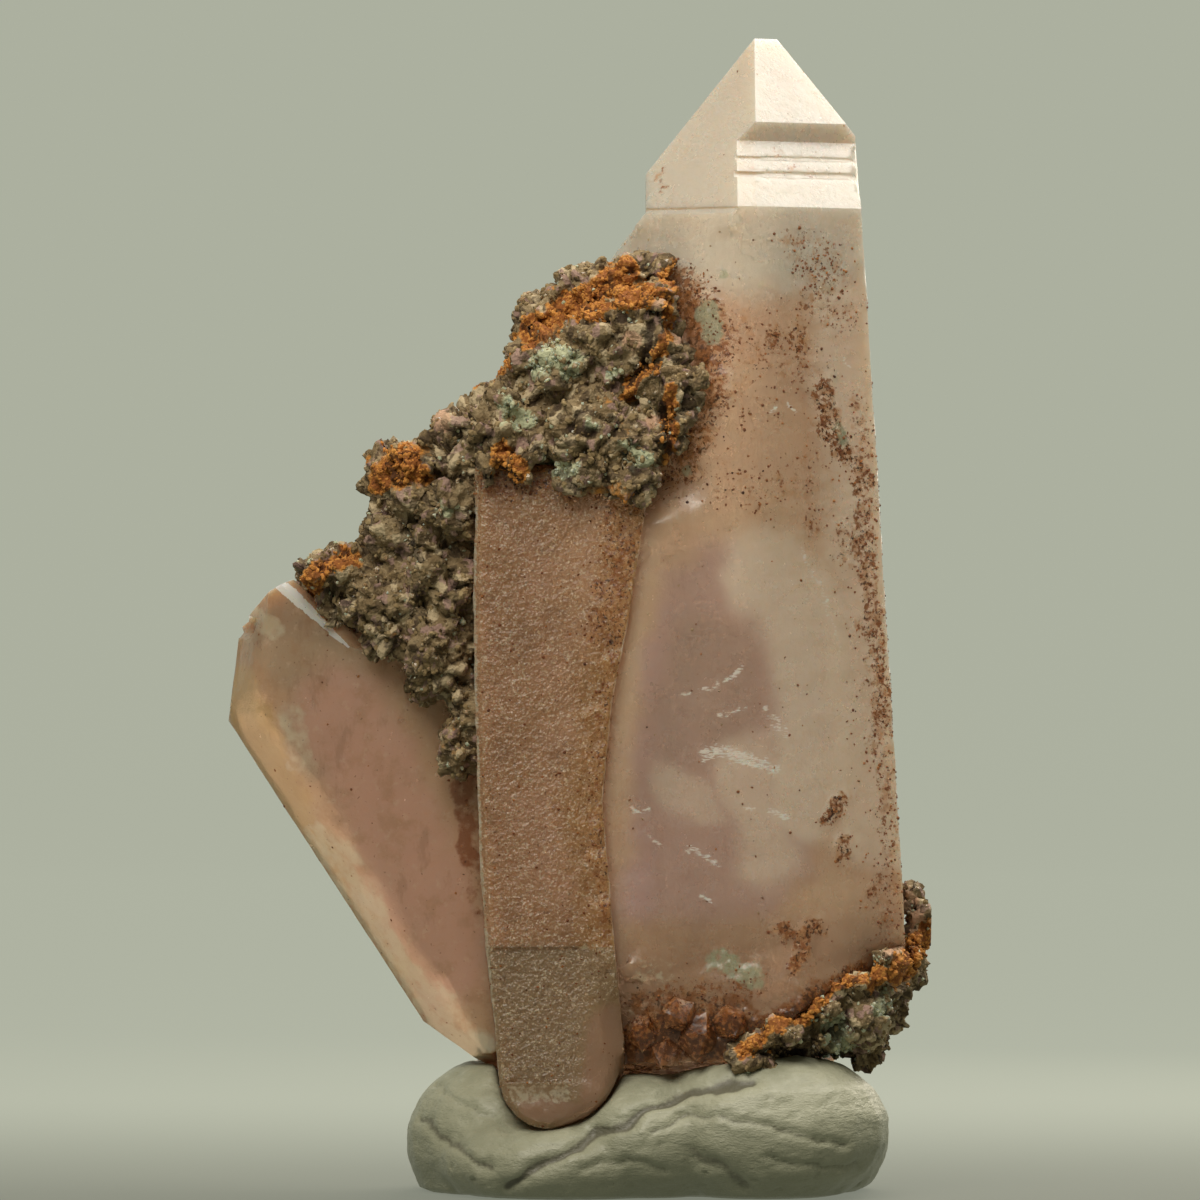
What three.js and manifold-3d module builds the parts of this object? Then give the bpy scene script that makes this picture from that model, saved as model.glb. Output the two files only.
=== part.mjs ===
// Skeletal amethyst: a pointed quartz crystal with a slender one grown on its front, a leaning
// crystal beside them and two patches of host rock, stood in a kneaded pad of putty.
// Millimetres, +Z up, front towards -Y, origin under the middle of the pad.

import * as THREE from 'three';
import { ConvexGeometry } from 'three/addons/geometries/ConvexGeometry.js';
import { ImprovedNoise } from 'three/addons/math/ImprovedNoise.js';
import { mergeVertices } from 'three/addons/utils/BufferGeometryUtils.js';
import Module from 'manifold-3d';

// Gap kept between neighbouring pieces
const GAP = 0.3;

// Elevation of the normal of a quartz pyramid face above the prism's horizontal
const PYRAMID = 38.2;

// Main crystal: the short ridge at its point, then the sizes of its steps and prism
const TIP_LEFT = [8.8, 0.7, 58.25];
const TIP_RIGHT = [9.95, 1.36, 58.25];
const PRISM_TAPER = 2.5;
const RIGHT_TAPER = 3.4;
const FRONT_STEP_TOP = 53.85;
const FRONT_STEP_DEPTH = 0.95;
const LEFT_STEP_X = 3.3;
const LEFT_STEP_DEPTH = 1.56;
const PYRAMID_FOOT_RIGHT = 49.5;
const PYRAMID_FOOT_LEFT = 49.15;
const PRISM_RIGHT_X = 14.1;
const PRISM_LEFT_X = -1.5;
const PRISM_BACK_EDGE = [8.2, 5.9, 50];
const FRONT_FACET_Y = -7.15;
const FOOT_FRONT_Z = 7.0;
const FOOT_Z = 5.8;
const FOOT_TILT = 72;

// Growth grooves on the two front pyramid faces: heights from and to, and depth
const RIGHT_GROOVES = [[51.9, 52.1, 0.08], [51.0, 51.3, 0.12]];
const LEFT_GROOVES = [[49.36, 49.46, 0.1]];

// Recessed window in the front of the main crystal
const WINDOW_LEFT = 1.0;
const WINDOW_RIGHT = 13.1;
const WINDOW_FOOT = 11.6;
const WINDOW_SPRING = 27.5;
const WINDOW_TOP = 34.4;
const WINDOW_DEPTH = 0.3;

// Slender crystal on the front: its two long edges from top to foot, and its depth
const SLENDER_FRONT_Y = -7.9;
const SLENDER_BACK_Y = 0.2;
const SLENDER_LEFT = [
  [-5.15, 36.5], [-5.3, 30], [-5.2, 24.85], [-5.0, 17.35], [-4.65, 12.35], [-4.0, 5.85],
];
const SLENDER_RIGHT = [
  [2.2, 7.35], [1.75, 12.35], [1.1, 19.85], [1.6, 24.85], [2.4, 28.85], [3.25, 34.35], [3.5, 36.5],
];
const SLENDER_FOOT_Z = 3.55;
const SLENDER_BORDER = 1.25;
const SLENDER_STEP_Z = 12.6;
const SLENDER_STEP_DEPTH = 0.12;

// Leaning crystal on the left: the foot of its axis, its lean and its prism
const LEANING_CENTRE = [-11.5, 0, 19.85];
const LEANING_TILT = 33;
const LEANING_FRONT = -2.5;
const LEANING_BACK = 4.5;

// Pad of putty: its kneaded lobes as centre and radii
const PAD_LOBES = [
  { centre: [-3.0, 1.2, 2.5], radii: [5.8, 6.9, 4.45] },
  { centre: [3.2, 1.7, 2.2], radii: [9.4, 8.1, 4.3] },
  { centre: [8.9, 1.8, 2.7], radii: [6.7, 7.9, 4.5] },
  { centre: [9.2, -4.0, 3.35], radii: [6.2, 5.9, 3.95] },
  { centre: [-0.6, -2.6, 1.7], radii: [6.6, 6.4, 2.7] },
  { centre: [3.5, -3.4, 2.9], radii: [4.6, 5.7, 3.4] },
];

const wasm = await Module();
wasm.setup();
const noise = new ImprovedNoise();

// A crystal face: the direction it looks in, and one point that lies on it
function face(azimuth, elevation, [x, y, z]) {
  const a = THREE.MathUtils.degToRad(azimuth);
  const e = THREE.MathUtils.degToRad(elevation);
  const normal = new THREE.Vector3(Math.cos(e) * Math.cos(a), Math.cos(e) * Math.sin(a), Math.sin(e));
  return { normal, reach: normal.dot(new THREE.Vector3(x, y, z)) };
}

// A face moved along its own normal
function shifted({ normal, reach }, distance) {
  return { normal, reach: reach + distance };
}

// The same plane, looking back the other way
function turned({ normal, reach }) {
  return { normal: normal.clone().negate(), reach: -reach };
}

const above = (z) => face(0, 90, [0, 0, z]);
const below = (z) => face(0, -90, [0, 0, z]);

// The corner shared by three faces, or nothing where two of them are parallel
function corner(a, b, c) {
  const rows = new THREE.Matrix3().set(...a.normal.toArray(), ...b.normal.toArray(), ...c.normal.toArray());
  if (Math.abs(rows.determinant()) < 1e-4) return null;
  return new THREE.Vector3(a.reach, b.reach, c.reach).applyMatrix3(rows.invert());
}

// The convex block that a set of faces closes in
function block(faces) {
  const corners = [];
  for (let i = 0; i < faces.length; i += 1) {
    for (let j = i + 1; j < faces.length; j += 1) {
      for (let k = j + 1; k < faces.length; k += 1) {
        const point = corner(faces[i], faces[j], faces[k]);
        const inside = point && faces.every(({ normal, reach }) => normal.dot(point) <= reach + 1e-6);
        if (inside) corners.push(point);
      }
    }
  }
  return solid(new ConvexGeometry(corners));
}

// A three.js geometry as a solid that can be joined and cut
function solid(geometry) {
  const bare = geometry.clone();
  bare.deleteAttribute('normal');
  bare.deleteAttribute('uv');
  const welded = mergeVertices(bare, 1e-5);
  return new wasm.Manifold(new wasm.Mesh({
    numProp: 3,
    vertProperties: new Float32Array(welded.attributes.position.array),
    triVerts: new Uint32Array(welded.index.array),
  }));
}

const joined = (solids) => solids.reduce((sum, next) => sum.add(next));
const cut = (body, cutters) => cutters.reduce((rest, cutter) => rest.subtract(cutter), body);
const largest = (body) => body.decompose().sort((a, b) => b.volume() - a.volume())[0];

// The named mesh of a finished solid
function piece(name, body, material) {
  const { vertProperties, triVerts } = largest(body).getMesh();
  const geometry = new THREE.BufferGeometry();
  geometry.setAttribute('position', new THREE.BufferAttribute(new Float32Array(vertProperties), 3));
  geometry.setIndex(new THREE.BufferAttribute(new Uint32Array(triVerts), 1));
  geometry.computeVertexNormals();
  const mesh = new THREE.Mesh(geometry, material);
  mesh.name = name;
  return mesh;
}

// A broken lump: a ball roughened by noise and pressed flat by a few chipped planes
function lump([x, y, z], [rx, ry, rz], seed, detail = 3) {
  const ball = new THREE.IcosahedronGeometry(1, detail);
  const place = ball.attributes.position;
  const point = new THREE.Vector3();
  THREE.MathUtils.seededRandom(seed);
  const chips = Array.from({ length: 9 }, () => {
    const way = new THREE.Vector3().setFromSphericalCoords(
      1,
      Math.acos(2 * THREE.MathUtils.seededRandom() - 1),
      2 * Math.PI * THREE.MathUtils.seededRandom(),
    );
    return { way, limit: 0.74 + 0.2 * THREE.MathUtils.seededRandom() };
  });
  for (let i = 0; i < place.count; i += 1) {
    point.fromBufferAttribute(place, i);
    const coarse = noise.noise(point.x * 1.9 + seed, point.y * 1.9, point.z * 1.9);
    const fine = noise.noise(point.x * 4.7, point.y * 4.7 + seed, point.z * 4.7);
    point.multiplyScalar(1 + 0.22 * coarse + 0.1 * fine);
    for (const { way, limit } of chips) {
      point.addScaledVector(way, -Math.max(0, point.dot(way) - limit));
    }
    place.setXYZ(i, x + rx * point.x, y + ry * point.y, z + rz * point.z);
  }
  return solid(ball);
}

// Faces of the main crystal that its upper cap and its lower part share
const horizontalRun = Math.tan(THREE.MathUtils.degToRad(PYRAMID));
const capRight = face(-60, PYRAMID, TIP_LEFT);
const capLeft = face(-120, PYRAMID, TIP_LEFT);
const capSide = face(180, PYRAMID, TIP_LEFT);
const tipBack = [face(120, PYRAMID, TIP_LEFT), face(60, PYRAMID, TIP_RIGHT), face(0, PYRAMID, TIP_RIGHT)];

// A point on a pyramid face of the tip, at a height and pushed inward by a horizontal step
function onPyramid(azimuth, height, step = 0) {
  const a = THREE.MathUtils.degToRad(azimuth);
  const out = horizontalRun * (TIP_LEFT[2] - height) - step;
  return [TIP_LEFT[0] + out * Math.cos(a), TIP_LEFT[1] + out * Math.sin(a), height];
}

// Prism faces, each starting from the foot of the pyramid face above it
function prismFaces() {
  return [
    face(-60, PRISM_TAPER, onPyramid(-60, PYRAMID_FOOT_RIGHT, FRONT_STEP_DEPTH)),
    face(-120, PRISM_TAPER, onPyramid(-120, PYRAMID_FOOT_LEFT)),
    face(0, RIGHT_TAPER, [PRISM_RIGHT_X, 0, PYRAMID_FOOT_RIGHT]),
    face(180, 0.5, [PRISM_LEFT_X, 0, 30]),
    face(60, PRISM_TAPER, PRISM_BACK_EDGE),
    face(120, PRISM_TAPER, PRISM_BACK_EDGE),
    face(90, 1.2, [0, PRISM_BACK_EDGE[1] + 0.3, 30]),
    face(-90, -0.6, [0, FRONT_FACET_Y, 40]),
  ];
}

// Cap at the point, which overhangs the recessed faces below it on the front and on the left
function mainCap(grow) {
  const riser = face(-60, -12, onPyramid(-60, FRONT_STEP_TOP));
  const leftRiser = face(180, 0, [LEFT_STEP_X, 0, 50]);
  const faces = [capRight, capLeft, capSide, ...tipBack, riser, leftRiser, ...prismFaces(), below(44)];
  return block(faces.map((one) => shifted(one, grow)));
}

// Long lower part of the main crystal, with its own pair of recessed pyramid faces
function mainStem(grow, inset = 0) {
  const recessedRight = face(-60, PYRAMID, onPyramid(-60, PYRAMID_FOOT_RIGHT, FRONT_STEP_DEPTH));
  const recessedSide = face(180, PYRAMID, [
    LEFT_STEP_X - 0.1, 0, TIP_LEFT[2] - (TIP_LEFT[0] - LEFT_STEP_X + 0.1 + LEFT_STEP_DEPTH) / horizontalRun,
  ]);
  const slantedFoot = face(-24, -45.4, [8, FRONT_FACET_Y, FOOT_FRONT_Z - 0.1]);
  const faces = [
    recessedRight, capLeft, recessedSide, ...tipBack, ...prismFaces(),
    below(FOOT_Z), face(-90, -FOOT_TILT, [0, FRONT_FACET_Y, FOOT_FRONT_Z]), slantedFoot,
  ];
  return block(faces.map((one) => shifted(one, grow - inset)));
}

// A shallow groove across a pyramid face between two heights
function groove(facet, low, high, depth) {
  return block([
    turned(shifted(facet, -depth)), shifted(facet, 1), above(high), below(low),
    face(0, 0, [18, 0, 0]), face(180, 0, [-4, 0, 0]), face(-90, 0, [0, -14, 0]), face(90, 0, [0, 8, 0]),
  ]);
}

// Recess of even depth behind an arched outline on the front of the main crystal
function windowRecess() {
  const middle = (WINDOW_LEFT + WINDOW_RIGHT) / 2;
  const arch = new THREE.Shape();
  arch.moveTo(WINDOW_LEFT, WINDOW_FOOT);
  arch.lineTo(WINDOW_RIGHT - 1.2, WINDOW_FOOT);
  arch.lineTo(WINDOW_RIGHT, WINDOW_FOOT + 3);
  arch.lineTo(WINDOW_RIGHT, WINDOW_SPRING - 3);
  arch.quadraticCurveTo(WINDOW_RIGHT - 0.6, WINDOW_TOP - 1.2, middle, WINDOW_TOP);
  arch.quadraticCurveTo(WINDOW_LEFT + 1.5, WINDOW_TOP - 1.5, WINDOW_LEFT, WINDOW_SPRING);
  const sheet = new THREE.ExtrudeGeometry(arch, { depth: 12, bevelEnabled: false, curveSegments: 8 });
  sheet.rotateX(Math.PI / 2);
  return solid(sheet).subtract(mainStem(0, WINDOW_DEPTH));
}

// Outline of the slender crystal seen from the front, with its rounded foot
function slenderOutline() {
  const [footLeft, footRight] = [SLENDER_LEFT.at(-1), SLENDER_RIGHT[0]];
  const middle = (footLeft[0] + footRight[0]) / 2;
  const outline = new THREE.Shape();
  outline.moveTo(...SLENDER_LEFT[0]);
  for (const [x, z] of SLENDER_LEFT.slice(1)) outline.lineTo(x, z);
  outline.quadraticCurveTo(footLeft[0] + 0.4, SLENDER_FOOT_Z + 0.1, middle - 0.6, SLENDER_FOOT_Z);
  outline.quadraticCurveTo(footRight[0] - 0.5, SLENDER_FOOT_Z + 0.3, ...footRight);
  for (const [x, z] of SLENDER_RIGHT.slice(1)) outline.lineTo(x, z);
  return outline;
}

// Slanted border down the right side of the slender crystal, between two of its edge points
function borderCut([lowX, lowZ], [highX, highZ], grow) {
  const lean = THREE.MathUtils.radToDeg(Math.atan((lowX - highX) / (highZ - lowZ)));
  const border = face(-52, lean * 0.62, [lowX - SLENDER_BORDER, SLENDER_FRONT_Y, lowZ]);
  return block([
    turned(shifted(border, grow)), above(highZ), below(lowZ),
    face(0, 0, [8, 0, 0]), face(180, 0, [-4, 0, 0]),
    face(-90, 0, [0, SLENDER_FRONT_Y - 3, 0]), face(90, 0, [0, SLENDER_FRONT_Y + 2, 0]),
  ]);
}

// Slender crystal: a long prism with a flat front, narrow bevels and a rounded foot
function slenderCrystal(grow) {
  const bevel = 0.3;
  const prism = new THREE.ExtrudeGeometry(slenderOutline(), {
    depth: SLENDER_BACK_Y - SLENDER_FRONT_Y - 2 * bevel + 2 * grow,
    bevelSize: bevel,
    bevelThickness: bevel,
    bevelOffset: grow - bevel,
    bevelSegments: 1,
    curveSegments: 7,
  });
  prism.rotateX(Math.PI / 2);
  prism.translate(0, SLENDER_BACK_Y - bevel + grow, 0);
  const edge = [[SLENDER_RIGHT[0][0] + 0.2, SLENDER_FOOT_Z - 1], ...SLENDER_RIGHT];
  const cutters = edge.slice(1).map((high, i) => borderCut(edge[i], high, grow));
  if (grow === 0) cutters.push(slenderStep());
  return cut(solid(prism), cutters);
}

// The front of the slender crystal stands back a little below its step
function slenderStep() {
  return block([
    face(90, 0, [0, SLENDER_FRONT_Y + SLENDER_STEP_DEPTH, 0]), face(-90, 0, [0, SLENDER_FRONT_Y - 2, 0]),
    above(SLENDER_STEP_Z), below(SLENDER_FOOT_Z + 2.3), face(0, 0, [6, 0, 0]), face(180, 0, [-8, 0, 0]),
  ]);
}

// Small quartz points grown on the main crystal, most of them round its foot: root, tip, radius
const SMALL_POINTS = [
  [[3.4, -5.4, 9.2], [3.1, -7.0, 7.4], 0.75],
  [[4.6, -5.6, 9.6], [5.2, -7.9, 8.9], 0.85],
  [[5.9, -5.8, 9.2], [5.8, -7.6, 6.9], 0.95],
  [[7.3, -5.8, 9.4], [7.7, -7.8, 8.2], 0.8],
  [[4.6, -5.6, 7.8], [4.0, -7.5, 6.7], 0.8],
  [[2.7, -5.4, 11.2], [3.4, -7.3, 11.9], 0.7],
  [[12.9, -3.4, 41.0], [12.9, -4.9, 41.7], 0.55],
  [[13.3, -3.2, 36.2], [13.2, -4.6, 38.2], 0.5],
  [[4.2, 3.6, 13.5], [3.4, 7.1, 18.6], 1.35],
  [[9.2, 5.2, 9.5], [11.4, 8.3, 14.2], 1.2],
  [[1.0, 1.4, 24.0], [-0.6, 4.6, 28.4], 1.1],
];

// A six-sided quartz point from its root to its tip
function quartzPoint(root, tip, radius) {
  const [from, to] = [new THREE.Vector3(...root), new THREE.Vector3(...tip)];
  const way = to.clone().sub(from).normalize();
  const upright = new THREE.Quaternion().setFromUnitVectors(new THREE.Vector3(0, 0, 1), way);
  const shoulder = to.clone().addScaledVector(way, -1.1 * radius);
  const ring = (centre) => Array.from({ length: 6 }, (_, i) => (
    new THREE.Vector3(radius, 0, 0)
      .applyAxisAngle(new THREE.Vector3(0, 0, 1), (i * Math.PI) / 3)
      .applyQuaternion(upright)
      .add(centre)
  ));
  return solid(new ConvexGeometry([...ring(from), ...ring(shoulder), to]));
}

// The main crystal and the slender one as the single grown piece that they are
function crystalPair() {
  const recessedRight = face(-60, PYRAMID, onPyramid(-60, PYRAMID_FOOT_RIGHT, FRONT_STEP_DEPTH));
  const grooves = [
    ...RIGHT_GROOVES.map(([low, high, depth]) => groove(recessedRight, low, high, depth)),
    ...LEFT_GROOVES.map(([low, high, depth]) => groove(capLeft, low, high, depth)),
  ];
  const main = cut(mainStem(0).add(mainCap(0)), [...grooves, windowRecess()]);
  return joined([main, slenderCrystal(0), ...SMALL_POINTS.map((one) => quartzPoint(...one))]);
}

// The space that the pair takes up with a margin all round, for cutting its neighbours
function pairClearance() {
  return joined([mainStem(GAP), mainCap(GAP), slenderCrystal(GAP)]);
}

// Leaning crystal, built upright on its own axis and then tilted into place: a tall left part that
// carries the chipped top, and a lower right part under a pyramid face of its own
function leaningCrystal(grow) {
  const edge = [-3.15, 0.5, 6.7];
  const shoulder = [4.14, LEANING_FRONT, 6.38];
  const shared = [
    face(-150, 0, [-1.43, LEANING_FRONT, 0]),
    face(-90, 0, [0, LEANING_FRONT, 0]),
    face(90, 0, [0, LEANING_BACK, 0]),
    face(150, 0, edge),
    face(-150, 36, edge),
    face(150, 36, edge),
    face(180, -23, [-3.2, 0, -11.3]),
    face(-155, -54, [-1.66, LEANING_FRONT, -14.1]),
    face(90, -20, [0, LEANING_BACK, -10]),
    face(90, 78, [0.9, LEANING_FRONT, 11.0]),
  ];
  const tall = [
    face(-30, 1, [4.9, LEANING_FRONT, 0]),
    face(30, 1, [6.8, 0.9, 0]),
    face(-43.8, 11, [2.84, LEANING_FRONT, 11.16]),
    face(25, 14, [3.42, LEANING_FRONT + 0.65, 11.3]),
    face(90, 40, [1, LEANING_BACK - 1.5, 8.5]),
  ];
  const wide = [
    face(-30, 1, [6.7, LEANING_FRONT, 0]),
    face(30, 1, [8.4, 0.9, 0]),
    face(-30, PYRAMID, shoulder),
    face(30, PYRAMID, [shoulder[0] + 1.7, 0.9, shoulder[2]]),
  ];
  const parts = [[...shared, ...tall], [...shared, ...wide]];
  return placedLeaning(joined(parts.map((faces) => block(faces.map((one) => shifted(one, grow))))));
}

// Tilts a solid from the leaning crystal's own axis into its place
function placedLeaning(body) {
  return body.rotate([0, -LEANING_TILT, 0]).translate(LEANING_CENTRE);
}

// The leaning crystal with its chipped corner, cut clear of the pair
function leaningPiece() {
  const chips = [
    placedLeaning(lump([-0.1, -1.7, 10.3], [1.0, 3.2, 0.85], 61, 2)),
    placedLeaning(lump([1.5, -2.7, 11.5], [0.9, 1.0, 0.75], 62, 2)),
  ];
  return cut(leaningCrystal(0), [...chips, pairClearance()]);
}

// Upper host rock, from its top at the right down to the leaning crystal: place, radii
const UPPER_ROCK = [
  [[5.5, -6.1, 46.4], [1.15, 1.2, 1.3]],
  [[2.9, -5.4, 46.0], [1.5, 1.4, 1.1]],
  [[1.0, -4.2, 45.4], [2.2, 2.2, 1.35]],
  [[-1.0, -4.2, 43.7], [2.3, 2.4, 1.9]],
  [[3.4, -7.2, 44.5], [1.6, 1.1, 1.2]],
  [[2.1, -6.1, 42.2], [3.3, 2.6, 2.9]],
  [[4.3, -6.9, 39.6], [1.6, 1.5, 2.8]],
  [[-1.0, -5.6, 41.1], [2.9, 3.0, 2.4]],
  [[1.0, -6.6, 37.9], [3.7, 2.7, 2.9]],
  [[-3.2, -5.9, 38.3], [3.1, 2.9, 2.5]],
  [[-5.6, -4.6, 37.2], [2.4, 2.8, 2.0]],
  [[-8.2, -3.3, 35.6], [2.5, 2.6, 2.1]],
  [[-8.8, -2.6, 33.5], [2.2, 2.6, 2.5]],
  [[-7.2, -3.4, 31.4], [2.3, 2.7, 3.4]],
  [[-9.3, -2.9, 30.0], [2.6, 2.5, 1.9]],
  [[-12.0, -1.9, 31.1], [2.5, 2.2, 1.2]],
  [[-12.2, -0.6, 29.5], [2.3, 2.4, 1.7]],
  [[-9.4, -3.2, 28.2], [1.7, 1.9, 1.3]],
  [[-7.1, -3.9, 27.4], [1.9, 2.3, 2.8]],
  [[-5.9, -3.7, 23.6], [0.95, 1.6, 2.9]],
  [[-2.7, -0.2, 37.0], [4.2, 4.4, 3.7]],
  [[-0.6, -1.0, 41.8], [2.6, 3.2, 3.0]],
  [[-7.3, 1.0, 32.0], [3.4, 3.4, 3.6]],
  [[-4.3, 1.7, 29.6], [3.2, 2.8, 4.6]],
  [[-3.6, 1.9, 23.4], [2.4, 2.2, 4.2]],
  [[-6.4, -5.2, 34.6], [1.3, 1.9, 1.7]],
  [[-3.7, -8.0, 36.3], [1.4, 0.9, 0.9]],
  [[2.5, -8.4, 35.7], [1.5, 0.8, 1.1]],
  [[0.0, -8.5, 36.0], [1.4, 0.7, 0.8]],
];

// Balls and grains of other minerals that stand out of the rock: place, radius
const UPPER_GRAINS = [
  [[0.4, -7.4, 42.9], 0.75], [[1.1, -7.6, 43.2], 0.55], [[-1.4, -7.9, 41.0], 0.85],
  [[-0.4, -8.2, 41.8], 0.6], [[-3.6, -8.0, 39.5], 0.7], [[6.1, -7.2, 43.9], 0.95],
  [[5.6, -7.5, 42.9], 0.7], [[5.6, -7.7, 40.9], 0.6], [[-5.9, -6.6, 38.4], 0.75],
  [[-8.8, -5.3, 36.6], 0.8], [[2.0, -8.7, 40.1], 0.8], [[-0.6, -8.7, 38.4], 0.8],
  [[-2.5, -8.4, 37.2], 0.7], [[3.2, -8.6, 37.3], 0.8], [[-8.0, -5.7, 32.6], 0.75],
  [[-6.6, -5.8, 30.0], 0.7],
];

// Hollows in the upper rock: place, radii
const UPPER_PITS = [
  [[-4.0, -8.2, 35.7], [0.75, 1.0, 0.65]],
  [[2.5, -8.2, 44.9], [0.45, 0.8, 0.4]],
  [[-6.9, -6.4, 36.1], [0.8, 0.9, 0.6]],
  [[4.0, -8.5, 41.6], [0.4, 0.8, 1.5]],
];

// Lower host rock at the right of the foot, its last rows laid along the crystal's slanted foot
const LOWER_ROCK = [
  [[16.3, 1.6, 14.4], [0.95, 1.5, 1.25]],
  [[17.0, 1.8, 13.0], [0.75, 1.2, 1.0]],
  [[16.1, 1.0, 11.8], [1.5, 2.6, 1.7]],
  [[14.8, -0.6, 10.2], [1.7, 3.0, 1.6]],
  [[13.2, -2.2, 8.9], [2.5, 3.5, 1.7]],
  [[14.2, -1.2, 7.7], [1.2, 2.0, 1.5]],
  [[11.0, -3.0, 8.0], [2.6, 3.0, 1.3]],
  [[8.6, -4.4, 7.4], [2.2, 2.4, 1.1]],
  [[14.2, 2.6, 9.6], [2.4, 2.8, 2.3]],
  [[8.4, -7.1, 7.2], [1.2, 0.9, 0.8]],
  [[10.1, -6.6, 8.1], [1.3, 1.0, 0.9]],
  [[11.7, -5.8, 9.3], [1.2, 1.1, 0.9]],
  [[13.2, -4.9, 10.5], [1.1, 1.2, 0.9]],
  [[14.8, -3.7, 11.4], [1.2, 1.3, 0.9]],
];

const LOWER_GRAINS = [
  [[15.9, -2.3, 12.2], 0.6], [[14.3, -4.2, 10.3], 0.65], [[12.2, -5.4, 9.2], 0.6], [[16.9, 0.2, 13.9], 0.5],
  [[15.8, 0.0, 15.5], 0.5], [[10.2, -5.7, 8.5], 0.55],
];

// The lumps of a list, each made larger all round by a margin, the large ones with finer faces
function lumps(list, seed, grow = 0) {
  return list.map(([centre, radii], i) => {
    const detail = Math.max(...radii) < 3.25 ? 1 : 2;
    return lump(centre, radii.map((radius) => radius + grow), seed + i, detail);
  });
}

const grains = (list, seed) => list.map(([centre, r], i) => lump(centre, [r, r, r], seed + i, 0));

function upperMatrix() {
  const rock = joined([...lumps(UPPER_ROCK, 100), ...grains(UPPER_GRAINS, 140)]);
  return cut(rock, [...lumps(UPPER_PITS, 170), pairClearance(), leaningCrystal(GAP)]);
}

function lowerMatrix() {
  const rock = joined([...lumps(LOWER_ROCK, 200), ...grains(LOWER_GRAINS, 230)]);
  const points = SMALL_POINTS.map(([root, tip, radius]) => quartzPoint(root, tip, radius + GAP));
  return cut(rock, [pairClearance(), ...points]);
}

// Front surface of the putty pad at a place seen from the front
function padFront(x, z) {
  const depths = PAD_LOBES.map(({ centre, radii }) => {
    const inside = 1 - ((x - centre[0]) / radii[0]) ** 2 - ((z - centre[2]) / radii[2]) ** 2;
    return centre[1] - radii[1] * Math.sqrt(Math.max(0, inside));
  });
  return Math.min(...depths);
}

// A crease pressed into the putty along points seen from the front
function crease(points, radius) {
  const path = new THREE.CatmullRomCurve3(points.map(([x, z]) => new THREE.Vector3(x, padFront(x, z), z)));
  const round = new THREE.Shape().absarc(0, 0, radius, 0, 2 * Math.PI);
  return solid(new THREE.ExtrudeGeometry(round, {
    steps: 8, curveSegments: 2, extrudePath: path, bevelEnabled: false,
  }));
}

const CREASES = [
  [[-3.6, 0.7], [-1.2, 2.3], [1.9, 3.8], [4.9, 5.2], [8.2, 5.8]],
  [[3.6, 3.7], [6.2, 3.9], [9.6, 3.4], [13.4, 2.9], [15.0, 3.5]],
  [[-8.0, 3.9], [-6.3, 2.6], [-4.3, 1.6]],
];

// The pad: kneaded lobes, flat underneath, with the specimen's feet pressed into it
function puttyPad() {
  const lobes = PAD_LOBES.map(({ centre, radii }) => {
    const ball = new THREE.SphereGeometry(1, 16, 9);
    ball.rotateX(Math.PI / 2);
    ball.scale(...radii);
    ball.translate(...centre);
    return solid(ball);
  });
  const table = block([
    above(0), below(-5), face(0, 0, [30, 0, 0]), face(180, 0, [-30, 0, 0]),
    face(90, 0, [0, 30, 0]), face(-90, 0, [0, -30, 0]),
  ]);
  const feet = [pairClearance(), leaningCrystal(GAP), ...lumps(LOWER_ROCK, 200, GAP)];
  return cut(joined(lobes), [table, ...CREASES.map((points) => crease(points, 0.22)), ...feet]);
}

const amethyst = new THREE.MeshStandardMaterial({ color: 0xc3a598, roughness: 0.4, metalness: 0 });
const paleAmethyst = new THREE.MeshStandardMaterial({ color: 0xb89a90, roughness: 0.35, metalness: 0 });
const hostRock = new THREE.MeshStandardMaterial({ color: 0x6a5b44, roughness: 0.9, metalness: 0 });
const lowerRock = new THREE.MeshStandardMaterial({ color: 0x7a6a52, roughness: 0.9, metalness: 0 });
const putty = new THREE.MeshStandardMaterial({ color: 0xa0a18c, roughness: 0.7, metalness: 0 });

const specimen = new THREE.Group();
specimen.add(
  piece('main_crystal_pair', crystalPair(), amethyst),
  piece('leaning_crystal', leaningPiece(), paleAmethyst),
  piece('upper_matrix', upperMatrix(), hostRock),
  piece('lower_matrix', lowerMatrix(), lowerRock),
  piece('putty_pad', puttyPad(), putty),
);

// The origin lies under the middle of the whole
const whole = new THREE.Box3().setFromObject(specimen);
const middle = whole.getCenter(new THREE.Vector3());
specimen.position.set(-middle.x, -middle.y, -whole.min.z);

export default specimen;
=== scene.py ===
"""Skeletal amethyst on its putty pad: fine relief, stains, grains and finishes, in a soft studio.

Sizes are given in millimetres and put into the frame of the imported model, which is in metres.
"""

import logging
import math
from dataclasses import dataclass
from enum import Enum
from typing import Any, NamedTuple, Sequence

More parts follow.
